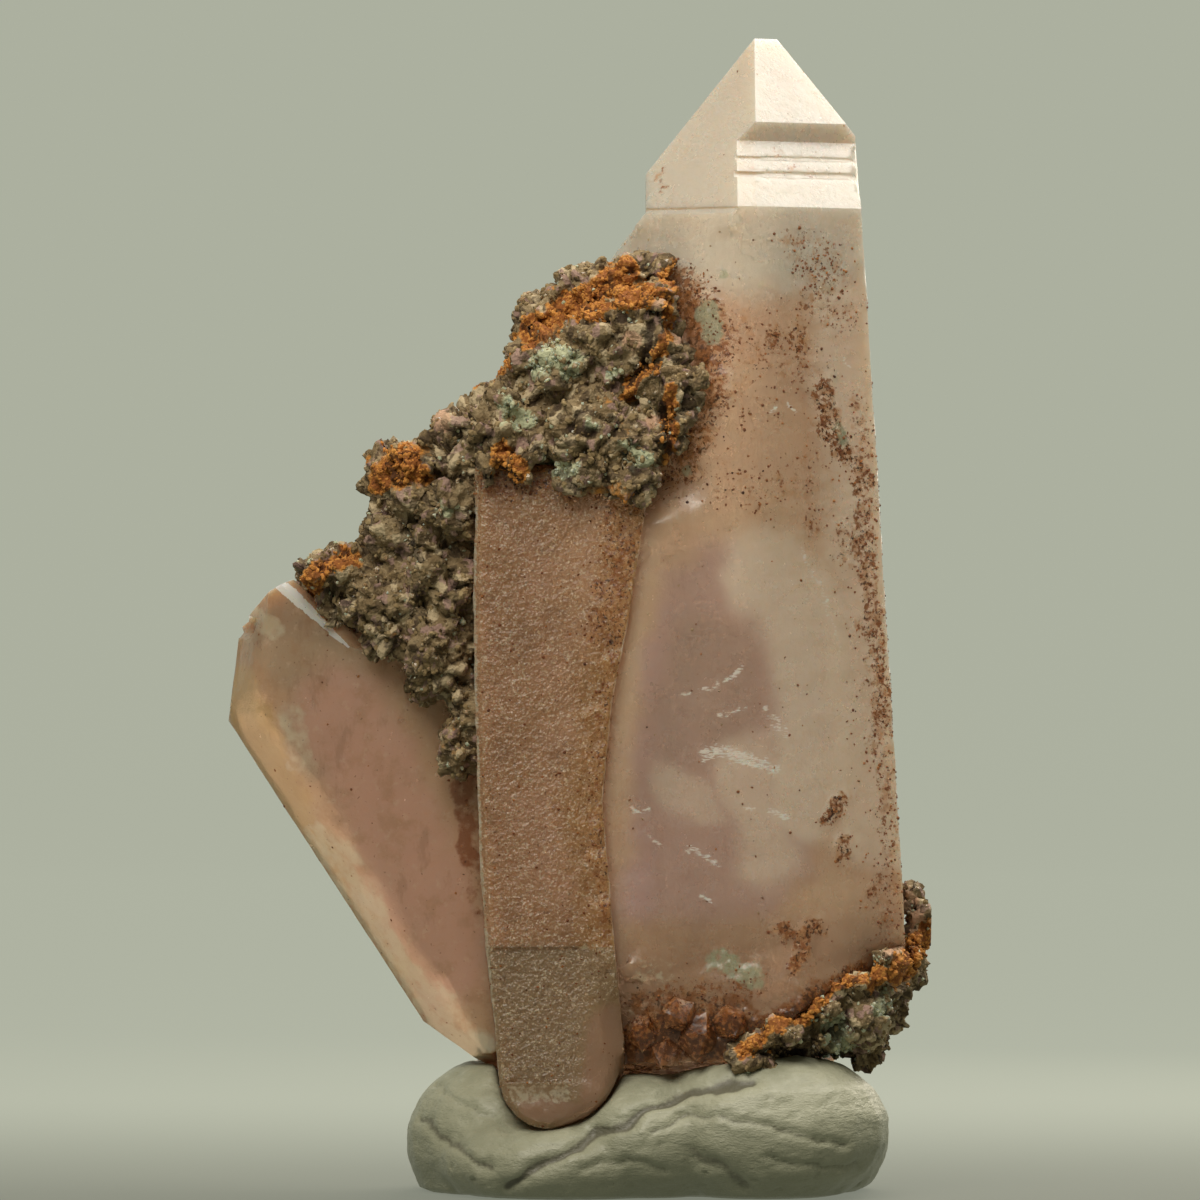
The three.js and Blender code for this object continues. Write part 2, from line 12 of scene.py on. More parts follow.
import bmesh
import bpy
import numpy as np
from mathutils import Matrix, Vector


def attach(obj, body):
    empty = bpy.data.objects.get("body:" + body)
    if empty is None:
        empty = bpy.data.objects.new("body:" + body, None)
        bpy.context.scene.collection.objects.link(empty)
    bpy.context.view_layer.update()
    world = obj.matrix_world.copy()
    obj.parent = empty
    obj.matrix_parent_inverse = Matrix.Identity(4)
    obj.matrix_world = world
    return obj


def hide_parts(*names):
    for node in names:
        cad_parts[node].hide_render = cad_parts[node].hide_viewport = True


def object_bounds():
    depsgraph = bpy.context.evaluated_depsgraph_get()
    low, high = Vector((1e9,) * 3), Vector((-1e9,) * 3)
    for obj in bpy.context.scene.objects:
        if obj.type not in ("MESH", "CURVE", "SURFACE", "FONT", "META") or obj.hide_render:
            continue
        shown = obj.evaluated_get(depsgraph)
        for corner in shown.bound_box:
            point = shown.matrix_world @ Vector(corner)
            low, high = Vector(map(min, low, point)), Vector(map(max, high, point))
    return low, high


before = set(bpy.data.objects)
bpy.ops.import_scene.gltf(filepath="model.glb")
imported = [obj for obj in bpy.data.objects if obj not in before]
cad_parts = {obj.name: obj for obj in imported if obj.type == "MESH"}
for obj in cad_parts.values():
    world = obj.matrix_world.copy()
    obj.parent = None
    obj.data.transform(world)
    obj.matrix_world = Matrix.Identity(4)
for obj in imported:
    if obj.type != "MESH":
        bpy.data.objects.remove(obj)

LOG = logging.getLogger("specimen")
MM = 0.001
CAD_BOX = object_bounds()

Array = np.ndarray
Path = Sequence[tuple[float, float]]


# Colours and node trees


def linear(code: str) -> tuple[float, float, float, float]:
    """Turn an sRGB hex colour into a linear one.

    Args:
        code: Six hex digits after a hash sign.

    Returns:
        Red, green, blue and a full alpha, all linear.
    """
    parts = [int(code[i:i + 2], 16) / 255 for i in (1, 3, 5)]
    red, green, blue = [c / 12.92 if c <= 0.04045 else ((c + 0.055) / 1.055) ** 2.4 for c in parts]
    return red, green, blue, 1.0


def add_node(tree: bpy.types.NodeTree, kind: str, sockets: dict | None = None,
             **settings: Any) -> bpy.types.Node:
    """Add one node with its settings, input values and links.

    Args:
        tree: The node tree that receives the node.
        kind: Blender's name for the node type.
        sockets: Input name or number, with a value or the output that feeds it.
        **settings: Properties of the node itself.

    Returns:
        The new node.
    """
    node = tree.nodes.new(kind)
    for name, value in settings.items():
        setattr(node, name, value)
    for name, value in (sockets or {}).items():
        if isinstance(value, bpy.types.NodeSocket):
            tree.links.new(value, node.inputs[name])
        else:
            node.inputs[name].default_value = value
    return node


@dataclass(frozen=True)
class Paint:
    """One layer of colour that breaks up into patches of a real size.

    Attributes:
        colour: Hex colour of the layer.
        size: Width of its patches in mm.
        low: Level where the layer starts to cover.
        high: Level where it covers fully.
        mask: Painted attribute that raises the level, or nothing for an even chance everywhere.
        strength: Most that the layer hides of what is under it.
        stretch: Factors on the pattern along x, y and z, for streaks.
        contrast: How far the pattern's noise swings the level.
    """

    colour: str
    size: float
    low: float
    high: float
    mask: str = ""
    strength: float = 1.0
    stretch: tuple[float, float, float] = (1.0, 1.0, 1.0)
    contrast: float = 1.0


class Bump(Enum):
    """Kinds of relief that are finer than the mesh."""

    WAVES = "soft waves"
    GRAINS = "broken grains"


@dataclass(frozen=True)
class Relief:
    """One layer of bump that is finer than the mesh.

    Attributes:
        size: Width of its bumps in mm.
        height: Their height in mm.
        stretch: Factors on the pattern along x, y and z.
        mask: Painted attribute that limits it, or nothing for an even cover.
        kind: Kind of its bumps.
    """

    size: float
    height: float
    stretch: tuple[float, float, float] = (1.0, 1.0, 1.0)
    mask: str = ""
    kind: Bump = Bump.WAVES


@dataclass(frozen=True)
class Finish:
    """A surface finish: base colour, layers of paint and relief, and the shader's constants.

    Attributes:
        name: Common name of the real material and its surface.
        base: Hex colour under all the layers.
        paints: Layers of colour, the lowest first.
        reliefs: Layers of bump.
        rough: Roughness of the clean surface.
        rough_mask: Attribute that makes the surface rougher where it is painted.
        rough_gain: Roughness added where that attribute is full.
        ior: Index of refraction.
        see_through: Share of light that is transmitted.
        milky: Share of the rest that scatters under the surface.
        depth: Distance in mm that light scatters under the surface.
        specular: Specular level of the surface.
        coat: Weight of a thin clear skin over it.
        sheen: Weight of a dusty sheen.
        inside: Colour and density per metre that the clear body absorbs, or nothing.
    """

    name: str
    base: str
    paints: tuple[Paint, ...] = ()
    reliefs: tuple[Relief, ...] = ()
    rough: float = 0.5
    rough_mask: str = ""
    rough_gain: float = 0.0
    ior: float = 1.5
    see_through: float = 0.0
    milky: float = 0.0
    depth: float = 1.0
    specular: float = 0.5
    coat: float = 0.0
    sheen: float = 0.0
    inside: tuple[str, float] | None = None

    def pattern(self, tree: bpy.types.NodeTree, size: float, stretch: tuple[float, float, float],
                number: int) -> bpy.types.NodeSocket:
        """Noise whose patches have a real size.

        Args:
            tree: The material's node tree.
            size: Width of the patches in mm.
            stretch: Factors on the pattern along x, y and z.
            number: Moves the pattern, so that no two layers line up.

        Returns:
            The noise level, from 0 to 1.
        """
        place = add_node(tree, "ShaderNodeTexCoord").outputs["Object"]
        shift = (0.013 * number, 0.029 * number, 0.041 * number)
        moved = add_node(tree, "ShaderNodeMapping", {"Vector": place, "Location": shift, "Scale": stretch})
        return add_node(tree, "ShaderNodeTexNoise", {
            "Vector": moved.outputs[0], "Scale": 1 / (size * MM), "Detail": 4.0, "Roughness": 0.6,
        }).outputs[0]

    def cover(self, tree: bpy.types.NodeTree, paint: Paint, number: int) -> bpy.types.NodeSocket:
        """Share of the surface that one paint layer hides.

        Args:
            tree: The material's node tree.
            paint: The layer.
            number: The layer's place in the list.

        Returns:
            The cover, from 0 to the layer's strength.
        """
        level = self.pattern(tree, paint.size, paint.stretch, number)
        if paint.mask:
            swing = add_node(tree, "ShaderNodeMath", {0: level, 1: -0.5}, operation="ADD").outputs[0]
            mask = add_node(tree, "ShaderNodeAttribute", attribute_name=paint.mask).outputs["Fac"]
            level = add_node(tree, "ShaderNodeMath", {0: swing, 1: paint.contrast, 2: mask},
                             operation="MULTIPLY_ADD").outputs[0]
        return add_node(tree, "ShaderNodeMapRange", {
            "Value": level, "From Min": paint.low, "From Max": paint.high, "To Max": paint.strength,
        }, interpolation_type="SMOOTHSTEP").outputs[0]

    def material(self) -> bpy.types.Material:
        """Build the material, or return it where it is built already."""
        made = bpy.data.materials.get(self.name)
        if made:
            return made
        made = bpy.data.materials.new(self.name)
        made.use_nodes = True
        made.diffuse_color = linear(self.base)
        tree = made.node_tree
        tree.nodes.clear()
        colour: Any = linear(self.base)
        for number, paint in enumerate(self.paints):
            colour = add_node(tree, "ShaderNodeMix", {
                0: self.cover(tree, paint, number), 6: colour, 7: linear(paint.colour),
            }, data_type="RGBA").outputs[2]
        shader = add_node(tree, "ShaderNodeBsdfPrincipled", {
            "Base Color": colour, "Roughness": self.rough, "IOR": self.ior,
            "Transmission Weight": self.see_through, "Subsurface Weight": self.milky,
            "Subsurface Scale": self.depth * MM, "Subsurface Radius": (1.0, 0.72, 0.55),
            "Specular IOR Level": self.specular, "Coat Weight": self.coat, "Coat Roughness": 0.25,
            "Sheen Weight": self.sheen, "Sheen Roughness": 0.4,
        })
        self.roughen(tree, shader)
        self.emboss(tree, shader)
        ends = {"Surface": shader.outputs[0]}
        if self.inside:
            ends["Volume"] = add_node(tree, "ShaderNodeVolumeAbsorption", {
                "Color": linear(self.inside[0]), "Density": self.inside[1],
            }).outputs[0]
        add_node(tree, "ShaderNodeOutputMaterial", ends)
        return made

    def roughen(self, tree: bpy.types.NodeTree, shader: bpy.types.Node) -> None:
        """Vary the roughness in small patches, and raise it where the rough mask is painted.

        Args:
            tree: The material's node tree.
            shader: The surface shader.
        """
        patch, swing = 1.3, 0.08
        level = self.pattern(tree, patch, (1.0, 1.0, 1.0), 23)
        base = add_node(tree, "ShaderNodeMapRange", {
            "Value": level, "From Min": 0.3, "From Max": 0.7,
            "To Min": max(0.02, self.rough - swing), "To Max": min(1.0, self.rough + swing),
        }).outputs[0]
        if self.rough_mask:
            mask = add_node(tree, "ShaderNodeAttribute", attribute_name=self.rough_mask).outputs["Fac"]
            base = add_node(tree, "ShaderNodeMath", {0: mask, 1: self.rough_gain, 2: base},
                            operation="MULTIPLY_ADD", use_clamp=True).outputs[0]
        tree.links.new(base, shader.inputs["Roughness"])

    def emboss(self, tree: bpy.types.NodeTree, shader: bpy.types.Node) -> None:
        """Add the bump layers, which are finer than the mesh.

        Args:
            tree: The material's node tree.
            shader: The surface shader.
        """
        normal = None
        for number, relief in enumerate(self.reliefs):
            if relief.kind is Bump.GRAINS:
                place = add_node(tree, "ShaderNodeTexCoord").outputs["Object"]
                level = add_node(tree, "ShaderNodeTexVoronoi", {
                    "Vector": place, "Scale": 1 / (relief.size * MM)}).outputs["Distance"]
            else:
                level = self.pattern(tree, relief.size, relief.stretch, 40 + number)
            share: Any = 1.0
            if relief.mask:
                share = add_node(tree, "ShaderNodeAttribute", attribute_name=relief.mask).outputs["Fac"]
            sockets = {"Height": level, "Distance": relief.height * MM, "Strength": share}
            if normal is not None:
                sockets["Normal"] = normal
            normal = add_node(tree, "ShaderNodeBump", sockets).outputs[0]
        if normal is not None:
            tree.links.new(normal, shader.inputs["Normal"])


# Noise on points in mm


def lattice_noise(points: Array, size: float, seed: int) -> Array:
    """Smooth gradient noise of one size.

    Args:
        points: Places in mm, one row each.
        size: Width of a bump in mm.
        seed: Picks the pattern.

    Returns:
        Levels from about -1 to 1.
    """
    rng = np.random.default_rng(seed)
    table = rng.permutation(256)
    table = np.concatenate([table, table, table])
    ways = rng.normal(size=(256, 3))
    ways /= np.linalg.norm(ways, axis=1)[:, None]
    scaled = points / size + 1000.0
    cell = np.floor(scaled).astype(int)
    inner = scaled - cell
    fade = inner ** 3 * (inner * (inner * 6 - 15) + 10)
    shares = (1 - fade, fade)
    total = np.zeros(len(points))
    for i in (0, 1):
        key_x = table[(cell[:, 0] + i) & 255]
        for j in (0, 1):
            key_y = table[key_x + ((cell[:, 1] + j) & 255)]
            level = shares[i][:, 0] * shares[j][:, 1]
            for k in (0, 1):
                index = table[key_y + ((cell[:, 2] + k) & 255)]
                dot = np.einsum("ij,ij->i", ways[index], inner - (i, j, k))
                total += level * shares[k][:, 2] * dot
    return total * 1.6


def rough_noise(points: Array, size: float, seed: int, octaves: int = 4) -> Array:
    """Noise with finer and finer detail.

    Args:
        points: Places in mm, one row each.
        size: Width of the largest bump in mm.
        seed: Picks the pattern.
        octaves: Number of sizes that are added up.

    Returns:
        Levels from about -1 to 1.
    """
    total = np.zeros(len(points))
    for octave in range(octaves):
        total += 0.5 ** octave * lattice_noise(points, size / 2 ** octave, seed + octave)
    return total / 1.6


def warped(points: Array, size: float, amount: float, seed: int) -> Array:
    """Points moved about by noise, so that a mark drawn on them gets a natural edge.

    Args:
        points: Places in mm, one row each.
        size: Width of a wave in mm.
        amount: Most that a point moves in mm.
        seed: Picks the pattern.

    Returns:
        The moved places.
    """
    moves = [rough_noise(points, size, seed + 7 * axis, 2) for axis in range(3)]
    return points + amount * np.stack(moves, axis=1)


class Cells(NamedTuple):
    """Where points lie in the grains that fill a space.

    Attributes:
        near: Distance to the nearest grain centre, over the grains' spacing.
        gap: How much farther the next centre is, so 0 on the joint between two grains.
        own: A level from 0 to 1 that each grain has as its own.
        tilt: Height of the point on a flat facet that leans its own way in each grain.
    """

    near: Array
    gap: Array
    own: Array
    tilt: Array


def grain_cells(points: Array, size: float, seed: int) -> Cells:
    """Place points in a random packing of grains.

    Args:
        points: Places in mm, one row each.
        size: Spacing of the grains in mm.
        seed: Picks the pattern.

    Returns:
        The place of each point in its grain.
    """
    rng = np.random.default_rng(seed)
    table = np.tile(rng.permutation(256), 3)
    jitter = rng.random((256, 3))
    ways = rng.normal(size=(256, 3))
    ways /= np.linalg.norm(ways, axis=1)[:, None]
    scaled = points / size + 1000.0
    cell = np.floor(scaled).astype(int)
    near = np.full(len(points), 9.0)
    second = np.full(len(points), 9.0)
    own = np.zeros(len(points), int)
    lean = np.zeros(len(points))
    for step in np.ndindex(3, 3, 3):
        around = cell + np.array(step) - 1
        key = around & 255
        index = table[table[table[key[:, 0]] + key[:, 1]] + key[:, 2]]
        apart = around + jitter[index] - scaled
        away = np.sqrt(np.einsum("ij,ij->i", apart, apart))
        closer = away < near
        second = np.minimum(second, np.maximum(near, away))
        own = np.where(closer, index, own)
        lean = np.where(closer, np.einsum("ij,ij->i", apart, ways[index]), lean)
        near = np.minimum(near, away)
    return Cells(near, second - near, own / 255, lean)


def rise(level: Array, low: float, high: float) -> Array:
    """Smooth step of a level from 0 at low to 1 at high."""
    ratio = np.clip((level - low) / (high - low), 0, 1)
    return ratio * ratio * (3 - 2 * ratio)


def path_distance(points: Array, path: Path) -> Array:
    """Distance, seen from the front, from points to a line.

    Args:
        points: Places in mm, one row each.
        path: Corners of the line as x and z in mm.

    Returns:
        The distances in mm.
    """
    flat = points[:, (0, 2)]
    nearest = np.linalg.norm(flat - np.array(path[0]), axis=1)
    for start, end in zip(path, path[1:]):
        a, b = np.array(start), np.array(end)
        along = np.clip((flat - a) @ (b - a) / max(1e-9, float((b - a) @ (b - a))), 0, 1)
        nearest = np.minimum(nearest, np.linalg.norm(flat - a - along[:, None] * (b - a), axis=1))
    return nearest


def inside_outline(points: Array, outline: Path) -> Array:
    """Whether points lie in an outline, seen from the front.

    Args:
        points: Places in mm, one row each.
        outline: Corners of the outline as x and z in mm.

    Returns:
        True for each point inside.
    """
    x, z = points[:, 0], points[:, 2]
    odd = np.zeros(len(points), bool)
    for (x0, z0), (x1, z1) in zip(outline, [*outline[1:], outline[0]]):
        if z0 != z1:
            odd ^= ((z0 > z) != (z1 > z)) & (x < (x1 - x0) * (z - z0) / (z1 - z0) + x0)
    return odd


@dataclass(frozen=True)
class Mark:
    """A spot or streak seen from the front.

    Attributes:
        path: Its course as x and z in mm, with one place alone for a spot.
        width: Half its width in mm.
        strength: Its level in the middle.
    """

    path: Path
    width: float
    strength: float = 1.0


def marked(points: Array, marks: Sequence[Mark], core: float = 0.3) -> Array:
    """Mask of the marks on a surface.

    Args:
        points: Places in mm, one row each.
        marks: The spots and streaks.
        core: Share of a mark's width where it is full.

    Returns:
        The level of each point, from 0 to 1.
    """
    level = np.zeros(len(points))
    for mark in marks:
        away = path_distance(points, mark.path)
        level = np.maximum(level, mark.strength * (1 - rise(away, core * mark.width, mark.width)))
    return level


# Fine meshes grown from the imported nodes


class Skin:
    """A fine mesh that starts as the copy of a node and gets its relief and masks."""

    def __init__(self, name: str, node: str) -> None:
        """Copy a node's mesh and merge its loose triangles.

        Args:
            name: Name of the new piece.
            node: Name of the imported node.
        """
        self.name = name
        self.node = node
        self.obj = bpy.data.objects.new(name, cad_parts[node].data.copy())
        self.obj.data.name = name
        bpy.context.scene.collection.objects.link(self.obj)
        self.obj.data.materials.clear()
        shape = bmesh.new()
        shape.from_mesh(self.obj.data)
        bmesh.ops.remove_doubles(shape, verts=shape.verts, dist=1e-6)
        shape.to_mesh(self.obj.data)
        shape.free()

    def split(self, edge: float, crease: float) -> None:
        """Cut the faces down to an edge length, with the crystal's own edges kept crisp.

        Args:
            edge: Longest edge left at the front, in mm. The back half gets edges twice as long.
            crease: Least angle in degrees of an edge that stays crisp.
        """
        shape = bmesh.new()
        shape.from_mesh(self.obj.data)
        bmesh.ops.dissolve_limit(shape, angle_limit=math.radians(0.4), verts=shape.verts, edges=shape.edges)
        bmesh.ops.triangulate(shape, faces=shape.faces)
        for line in shape.edges:
            line.smooth = line.calc_face_angle(0.0) < math.radians(crease)
        for face in shape.faces:
            face.smooth = True
        for _ in range(10):
            long = [line for line in shape.edges if line.calc_length() > edge * MM * (
                2 if line.verts[0].co.y + line.verts[1].co.y > 0 else 1)]
            if not long:
                break
            bmesh.ops.subdivide_edges(shape, edges=long, cuts=1, use_single_edge=True)
            bmesh.ops.triangulate(shape, faces=[face for face in shape.faces if len(face.verts) > 3])
        shape.to_mesh(self.obj.data)
        shape.free()
        self.read()

    def remesh(self, voxel: float, swell: float = 0.0) -> None:
        """Make the mesh an even grid, after swelling it a little.

        Args:
            voxel: Width of the grid in mm.
            swell: Distance in mm that the surface moves out first.
        """
        if swell:
            self.read()
            self.points += self.normals * swell
            self.write()
        grid = self.obj.modifiers.new("grid", "REMESH")
        grid.mode = "VOXEL"
        grid.voxel_size = voxel * MM
        mesh = bpy.data.meshes.new_from_object(self.obj.evaluated_get(bpy.context.evaluated_depsgraph_get()))
        self.obj.modifiers.clear()
        self.obj.data = mesh
        mesh.name = self.name
        mesh.materials.clear()
        mesh.polygons.foreach_set("use_smooth", np.ones(len(mesh.polygons), bool))
        self.read()

    def read(self) -> None:
        """Read the places and normals of the points from the mesh."""
        mesh = self.obj.data
        flat = np.empty(3 * len(mesh.vertices))
        mesh.vertices.foreach_get("co", flat)
        self.points = flat.reshape(-1, 3) / MM
        flat = np.empty(3 * len(mesh.vertices))
        mesh.vertex_normals.foreach_get("vector", flat)
        self.normals = flat.reshape(-1, 3)
        lines = np.empty(2 * len(mesh.edges), np.int32)
        mesh.edges.foreach_get("vertices", lines)
        self.lines = lines.reshape(-1, 2)

    def write(self) -> None:
        """Write the points to the mesh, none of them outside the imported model's box."""
        low, high = (np.array(corner) / MM for corner in CAD_BOX)
        self.points = np.clip(self.points, low, high)
        self.obj.data.vertices.foreach_set("co", (self.points * MM).ravel())
        self.obj.data.update()

    def settle(self) -> None:
        """Write the moved points to the mesh and read its new normals."""
        self.write()
        self.read()

    def push(self, height: Array) -> None:
        """Move each point along its normal by a height in mm."""
        self.points += self.normals * height[:, None]
        self.settle()

    def soften(self, mask: Array, rounds: int) -> None:
        """Smooth the surface where a mask is painted.

        Args:
            mask: Share of each point's move, from 0 to 1.
            rounds: Number of passes.
        """
        group = self.obj.vertex_groups.new(name="worn")
        tenths = np.round(np.clip(mask, 0, 1) * 10).astype(int)
        for step in range(1, 11):
            group.add(np.nonzero(tenths == step)[0].tolist(), step / 10, "REPLACE")
        worn = self.obj.modifiers.new("worn", "SMOOTH")
        worn.factor = 0.6
        worn.iterations = rounds
        worn.vertex_group = group.name
        made = self.obj.evaluated_get(bpy.context.evaluated_depsgraph_get()).data
        flat = np.empty(3 * len(made.vertices))
        made.vertices.foreach_get("co", flat)
        self.points = flat.reshape(-1, 3) / MM
        self.obj.modifiers.clear()
        self.obj.vertex_groups.clear()
        crisp = self.obj.data.attributes.get("sharp_edge")
        if crisp:
            level = np.empty(len(self.lines), bool)
            crisp.data.foreach_get("value", level)
            level &= mask[self.lines].sum(axis=1) < 0.6
            crisp.data.foreach_set("value", level)
        self.settle()

    def paint(self, name: str, level: Array) -> None:
        """Store a mask on the points.

        Args:
            name: Name of the attribute that the material reads.
            level: Share of each point, from 0 to 1.
        """
        mask = self.obj.data.attributes.get(name) or self.obj.data.attributes.new(name, "FLOAT", "POINT")
        mask.data.foreach_set("value", np.clip(level, 0, 1).astype(np.float32))

    def dress(self, finish: Finish) -> bpy.types.Object:
        """Give the piece its finish and let it stand for its node.

        Args:
            finish: The finish of the piece.

        Returns:
            The finished object.
        """
        self.obj.data.materials.clear()
        self.obj.data.materials.append(finish.material())
        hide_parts(self.node)
        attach(self.obj, "root")
        mesh = self.obj.data
        LOG.info("%s: %d points, %d faces", self.name, len(mesh.vertices), len(mesh.polygons))
        return self.obj


# Small grains spread over a surface


@dataclass(frozen=True)
class Scatter:
    """Broken grains of one mineral spread over a piece.

    Attributes:
        name: Name of the piece that they make.
        mask: Attribute that says where they sit.
        finish: Their finish.
        density: Number per square mm where the mask is full.
        size: Smallest and largest radius in mm.
        seed: Picks their places.
        sink: Share of the radius that each sits in the surface.
        slot: Name of a material slot; it is not used.
    """

    name: str
    mask: str
    finish: Finish
    density: float
    size: tuple[float, float]
    seed: int
    sink: float = 0.2
    slot: str = "host_rock"

    def tree(self) -> bpy.types.NodeTree:
        """Build the tree that spreads the grains.

        Returns:
            A Geometry Nodes tree with inputs for the density, the two sizes and the seed.
        """
        tree = bpy.data.node_groups.new(self.name, "GeometryNodeTree")
        face = tree.interface
        face.new_socket("Surface", in_out="INPUT", socket_type="NodeSocketGeometry")
        face.new_socket("Grains", in_out="OUTPUT", socket_type="NodeSocketGeometry")
        for label in ("Density", "Smallest", "Largest", "Sink"):
            face.new_socket(label, in_out="INPUT", socket_type="NodeSocketFloat")
        face.new_socket("Seed", in_out="INPUT", socket_type="NodeSocketInt")
        given = add_node(tree, "NodeGroupInput").outputs
        mask = add_node(tree, "GeometryNodeInputNamedAttribute", {"Name": self.mask},
                        data_type="FLOAT").outputs[0]
        density = add_node(tree, "ShaderNodeMath", {0: mask, 1: given["Density"]},
                           operation="MULTIPLY").outputs[0]
        spread = add_node(tree, "GeometryNodeDistributePointsOnFaces", {
            "Mesh": given["Surface"], "Density": density, "Seed": given["Seed"],
        }, distribute_method="RANDOM")
        size = add_node(tree, "FunctionNodeRandomValue", {
            "Min": given["Smallest"], "Max": given["Largest"], "Seed": given["Seed"],
        }, data_type="FLOAT")
        small = next(out for out in size.outputs if out.enabled)
        unit = add_node(tree, "GeometryNodeMeshIcoSphere", {"Radius": 1.0, "Subdivisions": 1}).outputs[0]
        wobble = add_node(tree, "FunctionNodeRandomValue", {"Seed": 5}, data_type="FLOAT_VECTOR")
        wobble.inputs[0].default_value = (0.0, 0.0, 0.0)
        wobble.inputs[1].default_value = (6.3, 6.3, 6.3)
        way = next(out for out in wobble.outputs if out.enabled)
        turn = add_node(tree, "FunctionNodeEulerToRotation", {0: way}).outputs[0]
        uneven = 0.45
        stretch = add_node(tree, "FunctionNodeRandomValue", {"Seed": 9}, data_type="FLOAT_VECTOR")
        stretch.inputs[0].default_value = (1 - uneven, 1 - uneven, 1 - uneven)
        stretch.inputs[1].default_value = (1 + uneven, 1 + uneven, 1 + uneven)
        lengths = next(out for out in stretch.outputs if out.enabled)
        scale = add_node(tree, "ShaderNodeVectorMath", {0: lengths}, operation="SCALE")
        tree.links.new(small, scale.inputs["Scale"])
        depth = add_node(tree, "ShaderNodeMath", {0: small, 1: given["Sink"]},
                         operation="MULTIPLY").outputs[0]
        inward = add_node(tree, "ShaderNodeMath", {0: depth, 1: -1.0}, operation="MULTIPLY").outputs[0]
        offset = add_node(tree, "ShaderNodeVectorMath", {0: spread.outputs["Normal"]}, operation="SCALE")
        tree.links.new(inward, offset.inputs["Scale"])
        sunk = add_node(tree, "GeometryNodeSetPosition", {
            "Geometry": spread.outputs["Points"], "Offset": offset.outputs[0]}).outputs[0]
        placed = add_node(tree, "GeometryNodeInstanceOnPoints", {
            "Points": sunk, "Instance": unit, "Rotation": turn, "Scale": scale.outputs[0]}).outputs[0]
        real = add_node(tree, "GeometryNodeRealizeInstances", {0: placed}).outputs[0]
        coloured = add_node(tree, "GeometryNodeSetMaterial", {
            "Geometry": real, "Material": self.finish.material()}).outputs[0]
        add_node(tree, "NodeGroupOutput", {"Grains": coloured})
        return tree

    def grow(self, surface: Skin) -> bpy.types.Object | None:
        """Spread the grains on a surface and make them one plain mesh.

        Args:
            surface: The piece that carries them.

        Returns:
            The grains, or nothing where none fell.
        """
        tree = self.tree()
        host = bpy.data.objects.new(self.name, surface.obj.data.copy())
        bpy.context.scene.collection.objects.link(host)
        spread = host.modifiers.new("spread", "NODES")
        spread.node_group = tree
        values = {"Density": self.density / MM ** 2, "Smallest": self.size[0] * MM,
                  "Largest": self.size[1] * MM, "Sink": self.sink, "Seed": self.seed}
        for socket in tree.interface.items_tree:
            if socket.in_out == "INPUT" and socket.name in values:
                spread[socket.identifier] = values[socket.name]
        mesh = bpy.data.meshes.new_from_object(host.evaluated_get(bpy.context.evaluated_depsgraph_get()))
        bpy.data.objects.remove(host)
        if not mesh.vertices:
            LOG.info("%s: none", self.name)
            return None
        grains = bpy.data.objects.new(self.name, mesh)
        bpy.context.scene.collection.objects.link(grains)
        mesh.name = self.name
        low, high = (np.array(corner) for corner in CAD_BOX)
        flat = np.empty(3 * len(mesh.vertices))
        mesh.vertices.foreach_get("co", flat)
        mesh.vertices.foreach_set("co", np.clip(flat.reshape(-1, 3), low, high).ravel())
        mesh.materials.clear()
        mesh.materials.append(self.finish.material())
        mesh.polygons.foreach_set("use_smooth", np.zeros(len(mesh.polygons), bool))
        mesh.update()
        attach(grains, "root")
        LOG.info("%s: %d faces", self.name, len(mesh.polygons))
        return grains


# Finishes


